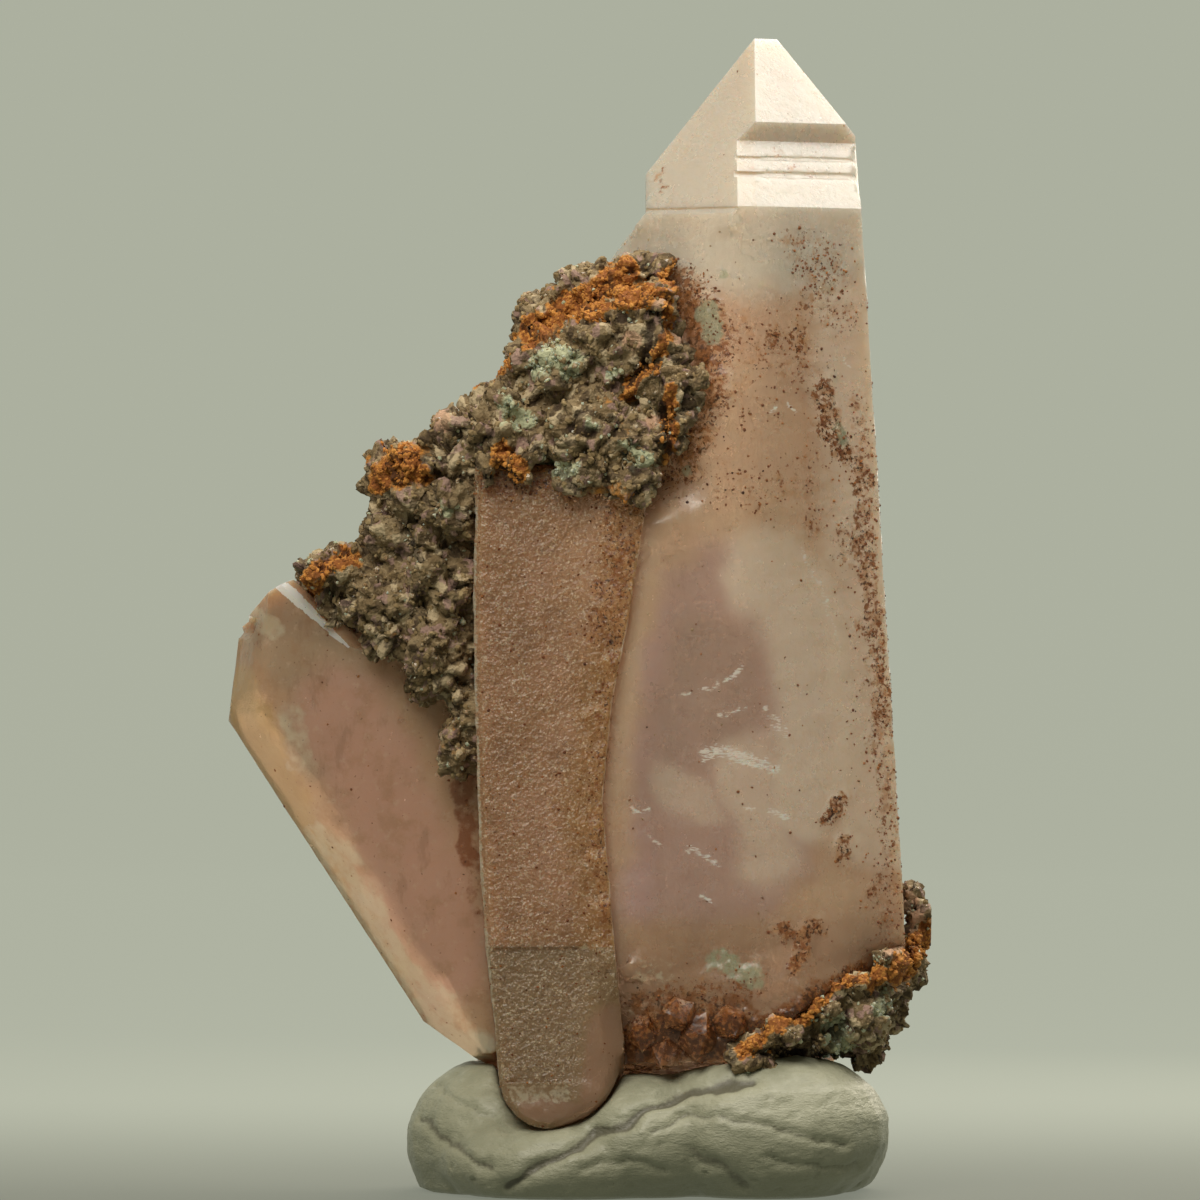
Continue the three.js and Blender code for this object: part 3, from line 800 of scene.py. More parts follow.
# Quartz of the main crystal: milky and faintly lilac inside, with a peach film of iron oxide on it
AMETHYST = Finish(
    name="milky_amethyst_quartz",
    base="#d0ae8f",
    paints=(
        Paint("#dfc2a0", 4.0, 0.4, 0.75, strength=0.5),
        Paint("#b98e68", 1.4, 0.52, 0.72, strength=0.3, stretch=(1.0, 1.0, 0.18)),
        Paint("#cdaca4", 6.0, 0.85, 1.2, "behind", 0.7, contrast=1.6),
        Paint("#e0cdb4", 2.4, 1.0, 1.35, "behind", 0.7, contrast=2.0),
        Paint("#9c7650", 1.1, 1.05, 1.35, "behind", 0.6, contrast=2.2),
        # Paler top: partly painted light, where light passes through the point, and partly paler quartz
        Paint("#d9d1bf", 1.6, 0.3, 0.8, "tip", 0.85, contrast=0.4),
        # Painted highlight: the right face of the point made paler where it reflects the top softbox
        Paint("#d6d0c2", 1.0, 0.45, 0.75, "tip_highlight", 0.6, contrast=0.6),
        Paint("#c2a295", 3.0, 0.2, 0.75, "window", 0.8, contrast=0.3),
        Paint("#d0aea8", 2.4, 0.2, 0.9, "lilac", 0.75, contrast=0.3),
        Paint("#9f8870", 2.6, 0.05, 1.1, "smoke", 0.36, contrast=0.3),
        # Milky quartz; along the right edge it is partly a painted glow, where light comes through the edge
        Paint("#ecdac2", 2.2, 0.05, 1.0, "milk_and_edge_glow", 0.8, contrast=0.35),
        Paint("#8f6c50", 3.0, 0.3, 0.9, "low", 0.6, contrast=0.4),
        Paint("#b0845b", 0.9, 0.3, 0.7, "slender", 0.95, contrast=0.3),
        Paint("#c89a7a", 4.0, 0.85, 1.25, "slender", 0.6, contrast=1.2),
        Paint("#8b6748", 2.6, 0.95, 1.3, "slender", 0.45, contrast=1.4),
        Paint("#a87a42", 0.6, 0.2, 0.95, "gold", 0.8, contrast=0.9),
        Paint("#96805f", 0.8, 0.35, 0.75, "toe", 0.75, contrast=0.5),
        Paint("#a9856b", 1.0, 0.3, 0.9, "lobe", 0.8, contrast=0.4),
        Paint("#ead6b6", 0.14, 0.68, 0.9, "frost", 0.6, contrast=2.3),
        Paint("#674a30", 0.2, 0.82, 0.98, "frost", 0.5, contrast=2.6),
        # Pale grains on the main crystal and a pale facet at the slender crystal's foot; along the slender
        # crystal's left edge and its step the pale lines are painted highlights
        Paint("#d8ccb0", 0.35, 0.5, 0.85, "pale", 0.7, contrast=1.6),
        Paint("#c08a52", 0.5, 0.5, 1.05, "stain", 0.6, contrast=2.4),
        Paint("#8f521f", 0.26, 0.72, 1.02, "stain", 0.85, contrast=3.2),
        Paint("#3b1d0d", 0.16, 0.98, 1.2, "stain", 0.9, contrast=3.6),
        # Rust crust; at the crystal's foot it is partly painted shade
        Paint("#8e5626", 0.45, 0.3, 0.8, "crust", 0.85, contrast=1.9),
        Paint("#43230f", 0.25, 0.66, 0.95, "crust", 0.85, contrast=2.6),
        Paint("#a5ab8c", 0.4, 0.4, 0.8, "green", 0.8, contrast=1.4),
        # Painted glints: near-white streaks of light reflected from fractures in the window
        Paint("#f8f2e6", 0.2, 0.5, 0.8, "fracture_glint", 0.95, (0.6, 1.0, 2.6), 2.3),
    ),
    reliefs=(Relief(0.9, 0.05, (1.0, 1.0, 0.12)), Relief(0.35, 0.03), Relief(0.09, 0.012),
             Relief(0.3, 0.07, mask="sugar", kind=Bump.GRAINS),
             Relief(0.13, 0.05, mask="sugar", kind=Bump.GRAINS)),
    rough=0.26,
    rough_mask="slender",
    rough_gain=0.12,
    ior=1.544,
    see_through=0.32,
    milky=0.85,
    depth=3.0,
    inside=("#cbb3ae", 14.0),
)

# Smoother pale quartz of the leaning crystal, with rosy clouds and a tan left edge
PALE_AMETHYST = Finish(
    name="rosy_quartz",
    base="#c8a583",
    paints=(
        Paint("#d2a99c", 5.0, 0.85, 1.2, "behind", 0.7, contrast=1.6),
        Paint("#e2d2bb", 2.0, 1.0, 1.35, "behind", 0.7, contrast=2.0),
        Paint("#b39c80", 2.6, 0.2, 0.9, "haze", 0.8, contrast=0.5),
        Paint("#d3a590", 3.0, 0.1, 1.0, "rosy", 0.75, contrast=0.8),
        Paint("#b08a68", 1.2, 0.48, 0.7, strength=0.5),
        Paint("#dcc0a4", 0.5, 0.56, 0.74, strength=0.4),
        Paint("#9a765a", 0.8, 0.56, 0.7, strength=0.35, stretch=(1.0, 1.0, 0.4)),
        Paint("#d0ae78", 1.2, 0.3, 0.9, "strip", 0.75, contrast=0.9),
        Paint("#dccfb2", 0.9, 0.35, 0.9, "creamy", 0.75, contrast=1.4),
        # Painted highlight: the thin facet at the top of the leaning crystal, made near white where it
        # catches the light
        Paint("#fbf6ea", 0.3, 0.3, 0.6, "pale", 0.95, contrast=0.5),
        Paint("#8a4a28", 0.6, 0.42, 0.95, "stain", 0.8, contrast=1.6),
        Paint("#4a2a16", 0.2, 0.65, 0.72, strength=0.6),
    ),
    reliefs=(Relief(0.5, 0.03), Relief(0.12, 0.012)),
    rough=0.2,
    ior=1.544,
    see_through=0.38,
    milky=0.85,
    depth=3.0,
    inside=("#cbb3ae", 14.0),
)

# Weathered host rock: fine olive-grey grit with brown clay and rusty iron oxide, quite matt, with painted
# shade in its joints and hollows
HOST_ROCK = Finish(
    name="weathered_host_rock",
    base="#94805e",
    paints=(
        Paint("#6c5838", 0.9, 0.42, 0.6, strength=0.75),
        Paint("#cbb893", 0.3, 0.3, 0.7, "beige", 0.75, contrast=0.5),
        Paint("#a28378", 0.4, 0.3, 0.7, "mauve", 0.75, contrast=0.5),
        Paint("#46351f", 0.3, 0.3, 0.7, "umber", 0.7, contrast=0.5),
        Paint("#cdbb98", 0.16, 0.6, 0.68, strength=0.6),
        Paint("#bcc09b", 0.4, 0.3, 0.75, "mint", 0.9, contrast=1.2),
        Paint("#c9a283", 0.5, 0.5, 0.8, "peach", 0.8, contrast=1.4),
        Paint("#cb8a3c", 0.5, 0.35, 0.8, "rust", 0.95, contrast=1.7),
        Paint("#8a4f1e", 0.35, 0.66, 0.98, "rust", 0.9, contrast=2.2),
        # Painted shade: dark in the carved joints between the grains
        Paint("#2a190b", 0.3, 0.5, 1.0, "crevice_shade", 0.7, contrast=0.9),
        # Painted shade: near black in the carved hollows and holes
        Paint("#2a190c", 0.5, 0.4, 0.8, "dark", 0.85),
    ),
    reliefs=(Relief(0.2, 0.08, kind=Bump.GRAINS), Relief(0.22, 0.06), Relief(0.07, 0.03)),
    rough=0.82,
    ior=1.5,
    specular=0.4,
)

# Kneaded putty: pale grey-green, matt with a faint greasy skin, with painted shade in its folds and on its
# lower half
PUTTY = Finish(
    name="kneaded_putty",
    base="#a6a68d",
    paints=(
        Paint("#8e8f77", 3.0, 0.4, 0.7, strength=0.6),
        Paint("#b9b9a2", 0.6, 0.5, 0.75, strength=0.45),
        # Painted shade: darker towards the bottom of the pad, away from the top light
        Paint("#8e8e75", 3.0, 0.2, 1.0, "lower_shade", 0.55, contrast=0.5),
        # Painted shade: darker in the carved folds and creases
        Paint("#545040", 0.3, 0.3, 0.8, "fold", 0.8, contrast=0.5),
        Paint("#57523f", 0.2, 0.66, 0.74, strength=0.55),
    ),
    reliefs=(Relief(0.55, 0.09, (1.0, 1.0, 2.4)), Relief(0.18, 0.04, (1.0, 1.0, 2.0)), Relief(0.06, 0.012)),
    rough=0.42,
    ior=1.47,
    coat=0.15,
)

# Rust: loose granules of iron oxide, dark red-brown and quite matt
RUST_GRAINS = Finish(
    name="iron_oxide_granules",
    base="#bb7c34",
    paints=(Paint("#cf9244", 0.8, 0.48, 0.62), Paint("#7d481c", 0.5, 0.54, 0.66)),
    reliefs=(Relief(0.05, 0.01),),
    rough=0.85,
)

# Specks of iron oxide on the crystals: dark red-brown and quite matt
RUST_SPECKS = Finish(
    name="iron_oxide_specks",
    base="#6e3d1e",
    paints=(Paint("#9a6230", 0.7, 0.48, 0.6), Paint("#3c1d0e", 0.8, 0.55, 0.66)),
    rough=0.8,
)

# Clear chips of quartz that catch the light
QUARTZ_CHIPS = Finish(
    name="quartz_chips",
    base="#c4aa86",
    paints=(Paint("#9c7f5c", 0.8, 0.45, 0.6, strength=0.8), Paint("#e2d6bd", 0.5, 0.58, 0.7, strength=0.7)),
    reliefs=(Relief(0.08, 0.01),),
    rough=0.2,
    ior=1.544,
    see_through=0.3,
    milky=0.5,
    depth=0.5,
)

# Prehnite: a sugary crust of pale green translucent grains with a waxy gloss
PREHNITE = Finish(
    name="prehnite_grains",
    base="#b6b896",
    paints=(Paint("#cdd0b4", 0.8, 0.45, 0.62, strength=0.8), Paint("#8f8d66", 0.4, 0.56, 0.7, strength=0.6)),
    reliefs=(Relief(0.1, 0.015),),
    rough=0.4,
    ior=1.62,
    see_through=0.1,
    milky=0.7,
    depth=0.5,
)

# Dark clay grit that fills the hollows of the rock
GRIT = Finish(
    name="clay_grit",
    base="#86724f",
    paints=(Paint("#a8936b", 0.7, 0.48, 0.62), Paint("#4c3a24", 0.6, 0.54, 0.66)),
    reliefs=(Relief(0.06, 0.015),),
    rough=0.9,
    specular=0.3,
)


# Sub-assemblies


SLENDER_RIGHT: Path = ((2.2, 3.4), (2.2, 7.35), (1.75, 12.35), (1.1, 19.85), (1.6, 24.85), (2.4, 28.85),
                       (3.25, 34.35), (3.5, 37.0))
SLENDER_OUTLINE: Path = (*SLENDER_RIGHT, (-5.6, 37.0), (-5.6, 3.4))
WINDOW_OUTLINE: Path = ((1.4, 12.5), (1.2, 20.0), (2.0, 26.0), (3.3, 31.6), (5.4, 33.6), (8.0, 34.0),
                        (10.6, 32.8), (12.2, 29.5), (13.0, 26.0), (13.2, 20.0), (12.6, 15.5), (10.0, 13.0))

STAINS_AND_FOOT_SHADE = (
    Mark(((11.0, 47.6), (12.4, 46.6), (11.8, 44.8), (13.2, 44.2)), 1.9, 0.55),
    Mark(((5.0, 45.6), (6.6, 43.2), (6.4, 40.6), (5.6, 38.0), (4.8, 36.4)), 1.9, 0.85),
    Mark(((7.6, 44.0), (8.6, 42.0)), 1.6, 0.55),
    Mark(((10.7, 43.2), (10.9, 42.4)), 1.0, 0.7),
    Mark(((9.6, 43.4), (9.8, 42.7)), 0.7, 0.85),
    Mark(((5.8, 41.8), (7.4, 40.6), (9.2, 42.0), (11.2, 41.4)), 1.6, 0.5),
    Mark(((12.3, 40.6), (12.3, 38.6), (13.3, 37.2)), 1.0, 0.85),
    Mark(((13.3, 37.2), (14.2, 35.9), (14.3, 31.5), (14.9, 27.5), (15.2, 24.0)), 1.0, 0.75),
    Mark(((13.7, 39.9), (14.3, 38.0), (14.6, 33.0)), 0.9, 0.55),
    Mark(((13.4, 33.2), (13.2, 32.2)), 0.9, 0.6),
    Mark(((9.9, 36.2), (10.1, 35.4)), 0.7, 0.6),
    Mark(((11.3, 34.0), (11.6, 33.5)), 0.7, 0.6),
    Mark(((12.4, 19.0), (13.2, 20.0)), 0.7, 0.95),
    Mark(((13.1, 17.9), (13.2, 16.9)), 0.4, 0.85),
    Mark(((14.9, 15.8), (14.7, 15.2)), 0.7, 0.7),
    Mark(((10.2, 13.3), (11.0, 12.9), (11.7, 13.5)), 0.8, 0.9),
    Mark(((11.2, 12.8), (10.8, 11.6)), 0.7, 0.9),
    Mark(((6.2, 35.9), (9.0, 35.2), (11.4, 36.4)), 1.8, 0.42),
    # These two marks at the foot are partly painted shade, where the foot sits in the putty, and partly iron
    # stain
    Mark(((2.9, 8.2), (4.6, 9.0), (7.0, 8.8), (9.6, 8.2), (12.0, 9.6), (13.6, 11.0)), 1.3, 0.95),
    Mark(((3.2, 9.8), (6.0, 10.2), (8.8, 10.8)), 1.3, 0.6),
    Mark(((15.0, 24.0), (15.6, 17.0), (15.5, 12.0)), 0.9, 0.55),
    Mark(((9.8, 52.6), (10.3, 51.6), (11.6, 51.4)), 0.6, 0.55),
    Mark(((3.9, 51.4), (4.1, 50.4)), 0.4, 0.6),
)
# The first two marks, at the foot, are partly painted shade where it sits in the putty, and partly rust crust
CRUST_AND_FOOT_SHADE = (Mark(((2.8, 7.2), (4.6, 8.2), (7.0, 8.0), (9.6, 7.8), (12.0, 9.4)), 2.1, 0.95),
         Mark(((3.0, 9.8), (6.0, 9.6), (8.0, 9.4)), 1.2, 0.6),
         Mark(((4.6, 45.4), (5.9, 43.6), (5.9, 40.6), (5.0, 37.2)), 1.1, 0.7))
# Glints on fractures in the window: painted as near-white streaks, and raised as small shards
GLINTS = (
    Mark(((5.05, 25.1), (6.8, 25.6), (8.15, 26.4)), 0.2, 0.8),
    Mark(((6.2, 22.1), (7.4, 22.3), (8.6, 21.8), (9.7, 21.4)), 0.6, 0.75),
    Mark(((2.3, 19.4), (3.5, 19.45)), 0.13),
    Mark(((3.4, 18.1), (4.1, 17.9)), 0.13),
    Mark(((5.5, 17.4), (6.9, 16.8)), 0.4, 0.7),
    Mark(((7.7, 19.3), (8.6, 19.5)), 0.15),
    Mark(((9.4, 19.3), (10.5, 19.0)), 0.3, 0.8),
    Mark(((6.0, 15.1), (6.7, 14.9)), 0.15),
    Mark(((7.0, 24.0), (8.4, 24.6)), 0.2, 0.7),
    Mark(((9.2, 24.6), (10.4, 23.0)), 0.5, 0.6),
    Mark(((9.7, 39.4),), 0.4, 0.9),
    Mark(((10.4, 39.5), (10.9, 39.2)), 0.12, 0.9),
    Mark(((13.1, 41.8), (13.4, 41.6)), 0.2, 0.8),
    Mark(((11.1, 32.6), (12.2, 30.0), (13.0, 27.3)), 0.22, 0.5),
)
SMOKE = (Mark(((6.6, 27.2), (6.9, 24.2)), 3.2, 0.9), Mark(((4.8, 24.4), (5.4, 22.5)), 2.4, 0.6))
# Milky zones; the mark along the right edge is partly a painted glow, where light comes through the crystal's
# edge
MILK_AND_EDGE_GLOW = (Mark(((9.4, 31.4), (11.2, 29.0), (12.0, 25.4), (11.4, 20.0)), 3.6, 0.95),
        Mark(((13.2, 44.0), (13.8, 36.0), (14.4, 26.0), (14.6, 18.0)), 2.8, 0.8),
        Mark(((8.4, 21.6), (9.6, 17.0)), 2.8, 0.7), Mark(((4.2, 20.8), (6.4, 19.6)), 1.6, 0.6))
SLENDER_LEFT: Path = ((-5.15, 36.5), (-5.3, 30.0), (-5.2, 24.85), (-5.0, 17.35), (-4.65, 12.35), (-4.0, 5.85))
FACET: Path = ((-3.75, 5.8), (-0.45, 5.75), (-0.45, 4.85), (-3.5, 4.8))
PALE = (Mark(((3.1, 11.2), (4.2, 11.4)), 1.2, 0.55), Mark(((12.65, 45.4),), 0.8, 0.7),
        Mark(((9.3, 45.6),), 0.9, 0.6), Mark(((2.8, 9.4),), 0.8, 0.6), Mark(((12.8, 41.0),), 0.6, 0.8),
        Mark(((4.6, 44.0), (5.6, 41.0)), 0.9, 0.6), Mark(((5.0, 38.0),), 0.6, 0.8))
GREENS = (Mark(((6.3, 44.3), (6.7, 43.2)), 0.9, 0.95), Mark(((7.1, 46.1),), 0.5, 0.8),
          Mark(((6.9, 11.9), (8.6, 11.1)), 1.1, 0.75), Mark(((5.4, 36.2),), 0.5, 0.8),
          Mark(((12.9, 38.4), (13.2, 37.8)), 0.5, 0.7))


@dataclass
class CrystalPair:
    """Main crystal with the slender one on its front.

    Attributes:
        edge: Longest mesh edge in mm.
        crease: Least angle in degrees of a crisp edge.
        shoulder: Height in mm where the point of the main crystal begins.
        step: Height in mm of the step across the slender crystal.
        front: How far in mm the slender crystal stands forward.
        rounds: Passes that round the worn edges of the body.
    """

    edge: float = 0.34
    crease: float = 14.0
    shoulder: float = 48.9
    step: float = 12.6
    front: float = 7.9
    rounds: int = 265

    def build(self) -> Skin:
        """Refine the pair, round the body's worn edges and add the growth relief.

        Returns:
            The refined skin.
        """
        skin = Skin("crystal_pair", "main_crystal_pair")
        skin.split(self.edge, self.crease)
        place = skin.points
        slender = self.slender(place)
        keep = rise(path_distance(place, SLENDER_RIGHT), 0.5, 1.4)
        body = (1 - rise(place[:, 2], self.shoulder - 0.9, self.shoulder - 0.25)) * (1 - slender) * keep
        body *= rise(place[:, 2], 10.5, 12.5) * (1 - rise(place[:, 1], -2.6, -1.2))
        # The right border leans outwards from the shoulder down, and stays crisp
        right = 14.1 + 0.0594 * (49.5 - place[:, 2])
        body *= 1 - rise(place[:, 0], right - 0.9, right - 0.2)
        skin.soften(body, self.rounds)
        self.fill(skin)
        place = skin.points
        ridge = rise(place[:, 2], 49.8, 50.3) * (1 - rise(place[:, 2], 52.4, 52.8))
        ridge *= rise(place[:, 0], 8.9, 9.6)
        near = 1 - rise(path_distance(place, SLENDER_RIGHT), 1.0, 2.0)
        border = slender * near * (1 - rise(place[:, 1], -7.0, -6.2))
        toe = slender * marked(place, (Mark(((0.6, 4.6), (1.2, 7.6)), 2.4),))
        skin.soften(np.maximum(0.8 * ridge, np.maximum(border, toe)), 28)
        self.roughen(skin)
        return skin

    def fill(self, skin: Skin) -> None:
        """Heal the deep corner at the right of the slender crystal, where the two grew together.

        Args:
            skin: The refined skin.
        """
        place = skin.points
        heights = [z for _, z in SLENDER_RIGHT]
        beyond = place[:, 0] - np.interp(place[:, 2], heights, [x for x, _ in SLENDER_RIGHT])
        healed = rise(beyond, -1.7, -0.8) * (1 - rise(beyond, 0.8, 4.6)) * (place[:, 1] < -2.9)
        healed *= rise(place[:, 2], 8.5, 12.0) * (1 - rise(place[:, 2], 33.5, 36.0))
        back = np.maximum(0, place[:, 1] + self.front)
        skin.points[:, 1] -= 0.8 * healed * back
        skin.settle()

    def slender(self, place: Array) -> Array:
        """Share of each point that belongs to the slender crystal."""
        return (inside_outline(place, SLENDER_OUTLINE) & (place[:, 1] < 0.6)).astype(float)

    def roughen(self, skin: Skin) -> None:
        """Add frost to the slender crystal, and steps, pits and crust to the main one.

        Args:
            skin: The refined skin.
        """
        place = skin.points
        slender = self.slender(place)
        tip = rise(place[:, 2], self.shoulder - 0.4, self.shoulder + 0.2)
        body = (1 - slender) * (1 - tip)
        frost = grain_cells(place, 0.55, 11).tilt
        fine = grain_cells(place, 0.3, 12).near
        smooth = marked(place, (Mark(((1.2, 5.0), (1.6, 8.6)), 1.8),))
        calm = 1 - 0.8 * smooth
        flat = inside_outline(place, FACET)
        calm *= 1 - 0.9 * flat
        height = slender * calm * (0.05 * frost + 0.05 * (0.5 - fine) + 0.05 * rough_noise(place, 2.0, 13))
        border = slender * (1 - rise(path_distance(place, SLENDER_RIGHT), 0.8, 2.0))
        border *= rise(place[:, 2], 9.0, 12.0)
        height += 0.3 * border * rough_noise(place, 1.2, 44, 4)
        height -= 0.07 * slender * flat
        height += slender * 0.08 * rough_noise(place, 3.2, 41, 2) * (place[:, 2] > 7)
        waves = rough_noise(place * np.array([1.0, 1.0, 3.2]), 2.6, 14, 5)
        height += body * (0.04 * waves + 0.025 * rough_noise(place, 0.7, 15))
        height += tip * 0.014 * rough_noise(place * np.array([1.0, 1.0, 4.0]), 1.2, 16)
        height += self.stain(place) * (1 - tip) * 0.12 * (0.5 + rough_noise(place, 0.45, 17))
        shards = rough_noise(place * np.array([1.0, 1.0, 2.2]), 0.5, 18, 3)
        height += 0.06 * marked(place, GLINTS) * body * shards
        grains = grain_cells(place, 0.45, 19).near
        rubble = np.maximum(marked(place, PALE), np.maximum(marked(place, GREENS), marked(place, CRUST_AND_FOOT_SHADE)))
        height += 0.2 * body * rubble * (0.6 - grains)
        skin.push(height)

    def stain(self, place: Array) -> Array:
        """Level of the iron stains, with painted shade at the crystal's foot, from 0 to 1."""
        ahead = (place[:, 1] < 1.5).astype(float)
        warp = warped(place, 1.0, 0.6, 26)
        level = marked(warp, STAINS_AND_FOOT_SHADE)
        inner = self.slender(place)
        border = 1 - rise(path_distance(warp, SLENDER_RIGHT), 0.2, 1.7)
        level = np.maximum(level * (1 - inner), 0.7 * border * inner * rise(place[:, 2], 9.0, 14.0))
        corner = marked(warp, (Mark(((-5.0, 36.0), (-1.0, 36.0), (3.0, 35.4)), 2.0, 0.8),
                               Mark(((2.2, 35.0), (2.0, 32.0), (1.4, 28.0)), 1.9, 0.75)))
        level = np.maximum(level, corner * inner)
        behind = 0.5 * rise(rough_noise(place, 6.0, 31), 0.0, 0.5) * (1 - ahead)
        return level * ahead + behind

    def paint(self, skin: Skin) -> None:
        """Paint the masks that the quartz finish reads.

        Args:
            skin: The refined skin.
        """
        place = skin.points
        slender = self.slender(place)
        ahead = (place[:, 1] < 1.0).astype(float)
        body = (1 - slender) * ahead
        warp = warped(place, 3.0, 0.9, 21)
        small = warped(place, 0.9, 0.35, 36)
        inside = inside_outline(warp, WINDOW_OUTLINE)
        edge = path_distance(warp, [*WINDOW_OUTLINE, WINDOW_OUTLINE[0]])
        window = body * rise(np.where(inside, edge, -edge), -0.8, 3.2)
        tip = rise(place[:, 2], self.shoulder - 0.2, self.shoulder + 0.2)
        skin.paint("slender", slender)
        skin.paint("behind", 1 - ahead)
        skin.paint("toe", slender * (1 - 0.9 * rise(place[:, 2], self.step - 0.1, self.step + 0.1)))
        smooth = marked(place, (Mark(((1.2, 5.0), (1.6, 8.6)), 1.9), Mark(((-2.4, 4.6), (0.0, 4.2)), 1.0)))
        sugar = slender * (1 - 0.85 * smooth) * (1 - 0.7 * inside_outline(place, FACET))
        skin.paint("frost", 0.58 * sugar)
        skin.paint("lobe", slender * smooth)
        gold = 1 - rise(path_distance(warp, SLENDER_RIGHT), 0.4, 3.4)
        skin.paint("gold", slender * gold * (place[:, 2] > 9.0))
        skin.paint("sugar", sugar)
        # Rust crust; at the crystal's foot it is partly painted shade
        skin.paint("crust", body * marked(small, CRUST_AND_FOOT_SHADE))
        # Paler top: partly painted light, where light passes through the point, and partly paler quartz
        skin.paint("tip", rise(place[:, 2], 41.0, self.shoulder) * (1 - slender))
        # Painted highlight on the right face of the point, where it reflects the top softbox
        skin.paint("tip_highlight", tip * (place[:, 0] > 8.8) * 0.8)
        skin.paint("window", window)
        skin.paint("lilac", window * (1 - rise(path_distance(place, SLENDER_RIGHT), 0.8, 3.6)))
        skin.paint("smoke", window * marked(warp, SMOKE))
        # Milky zones, with a painted glow along the right edge where light comes through
        skin.paint("milk_and_edge_glow", body * marked(warp, MILK_AND_EDGE_GLOW))
        skin.paint("low", body * (1 - rise(place[:, 2], 9.5, 19.0)))
        # Painted highlights: a pale line along the slender crystal's left edge and along its step
        edge_highlight = marked(place, (Mark(SLENDER_LEFT, 0.25, 0.8),)) * (place[:, 1] < -7.2)
        edge_highlight *= rise(place[:, 2], 6.0, 9.0)
        edge_highlight += 0.6 * marked(small, (Mark(((-4.5, 12.7), (1.4, 12.7)), 0.16),))
        facet = 0.7 * inside_outline(place, FACET)
        skin.paint("pale", body * marked(small, PALE) + slender * (edge_highlight + facet))
        skin.paint("green", body * marked(small, GREENS))
        # Painted glints: near-white streaks where fractures in the window reflect the light
        skin.paint("fracture_glint", body * marked(small, GLINTS, 0.15))
        skin.paint("stain", self.stain(place))
        band = marked(place, (Mark(((13.6, 40.0), (14.4, 30.0), (15.0, 20.0), (15.0, 10.0)), 2.2, 0.25),
                              Mark(((12.0, 46.4),), 2.4, 0.9), Mark(((7.0, 40.0), (11.0, 42.0)), 3.5, 0.4)))
        specks = np.maximum(self.stain(place), band * body) * (1 - 0.6 * slender) + 0.025 + 0.06 * slender
        skin.paint("specks", specks * (1 - 0.95 * tip))
        skin.paint("sparkle", body * (0.1 + rise(rough_noise(place, 2.0, 33), 0.25, 0.6)))

    def dress(self) -> None:
        """Build the pair, its finish and the granules that sit on it."""
        skin = self.build()
        self.paint(skin)
        skin.dress(AMETHYST)
        Scatter("iron_specks", "specks", RUST_SPECKS, 11.0, (0.02, 0.085), 3, 0.3, "amethyst").grow(skin)
        Scatter("quartz_sparkles", "sparkle", QUARTZ_CHIPS, 1.0, (0.03, 0.08), 4, 0.4, "amethyst").grow(skin)


@dataclass
class LeaningCrystal:
    """Leaning crystal at the left.

    Attributes:
        edge: Longest mesh edge in mm.
        crease: Least angle in degrees of a crisp edge.
        reach: How far in mm its right side closes up to the slender crystal.
        rounds: Passes that round its worn edges.
    """

    edge: float = 0.27
    crease: float = 14.0
    reach: float = 0.3
    rounds: int = 260

    def dress(self) -> None:
        """Build the leaning crystal and its finish."""
        skin = Skin("leaning_quartz", "leaning_crystal")
        skin.split(self.edge, self.crease)
        place = skin.points
        skin.points[:, 0] += self.reach * rise(skin.normals[:, 0], 0.75, 0.95) * (place[:, 0] > -6.5)
        skin.settle()
        place = skin.points
        band = ((-16.2, 29.6), (-15.3, 30.9), (-11.0, 27.2))
        worn = rise(path_distance(place, band), 0.6, 1.8) * rise(-skin.normals[:, 1], 0.3, 0.5)
        skin.soften(worn, self.rounds)
        place = skin.points
        skin.push(0.035 * rough_noise(place, 1.6, 51, 4) + 0.012 * rough_noise(place, 0.5, 52))
        place = skin.points
        ahead = (place[:, 1] < 0.5).astype(float)
        warp = warped(place, 1.6, 0.7, 53)
        stain = marked(warp, (Mark(((-8.6, 28.4), (-6.4, 25.0), (-5.8, 21.0), (-5.3, 14.0)), 1.1, 0.6),
                              Mark(((-6.0, 22.0), (-5.7, 16.6)), 0.8, 0.95),
                              Mark(((-16.2, 27.6),), 0.6, 0.5)))
        clouds = {
            "haze": (Mark(((-15.0, 28.0), (-12.5, 25.5), (-13.5, 22.5)), 3.0),),
            "strip": (Mark(((-17.4, 25.0), (-14.9, 18.6), (-9.6, 9.6)), 2.4, 0.9),),
            "creamy": (Mark(((-13.0, 17.5), (-9.0, 11.0), (-5.6, 7.6)), 1.9, 0.75),
                       Mark(((-7.6, 8.0), (-5.2, 7.4)), 1.4, 0.9),
                       Mark(((-14.6, 24.0), (-13.8, 21.5)), 1.2, 0.65),
                       Mark(((-16.4, 29.2), (-15.4, 28.4)), 1.0, 0.8)),
            "rosy": (Mark(((-12.0, 24.0), (-9.5, 19.0), (-6.8, 12.0)), 4.0, 0.95),),
        }
        for cloud, marks in clouds.items():
            skin.paint(cloud, ahead * marked(warp, marks))
        # Painted highlight on the thin facet at the top of the leaning crystal
        highlit_facet = ((-15.5, 30.6), (-15.1, 31.0), (-14.2, 30.3), (-11.3, 27.2), (-12.6, 28.2))
        skin.paint("pale", ahead * inside_outline(place, highlit_facet))
        skin.paint("behind", 1 - ahead)
        skin.paint("stain", stain * ahead)
        skin.paint("specks", 0.04 + 0.4 * stain)
        skin.dress(PALE_AMETHYST)
        Scatter("leaning_specks", "specks", RUST_SPECKS, 4.0, (0.025, 0.08), 6, 0.3,
                "pale_amethyst").grow(skin)


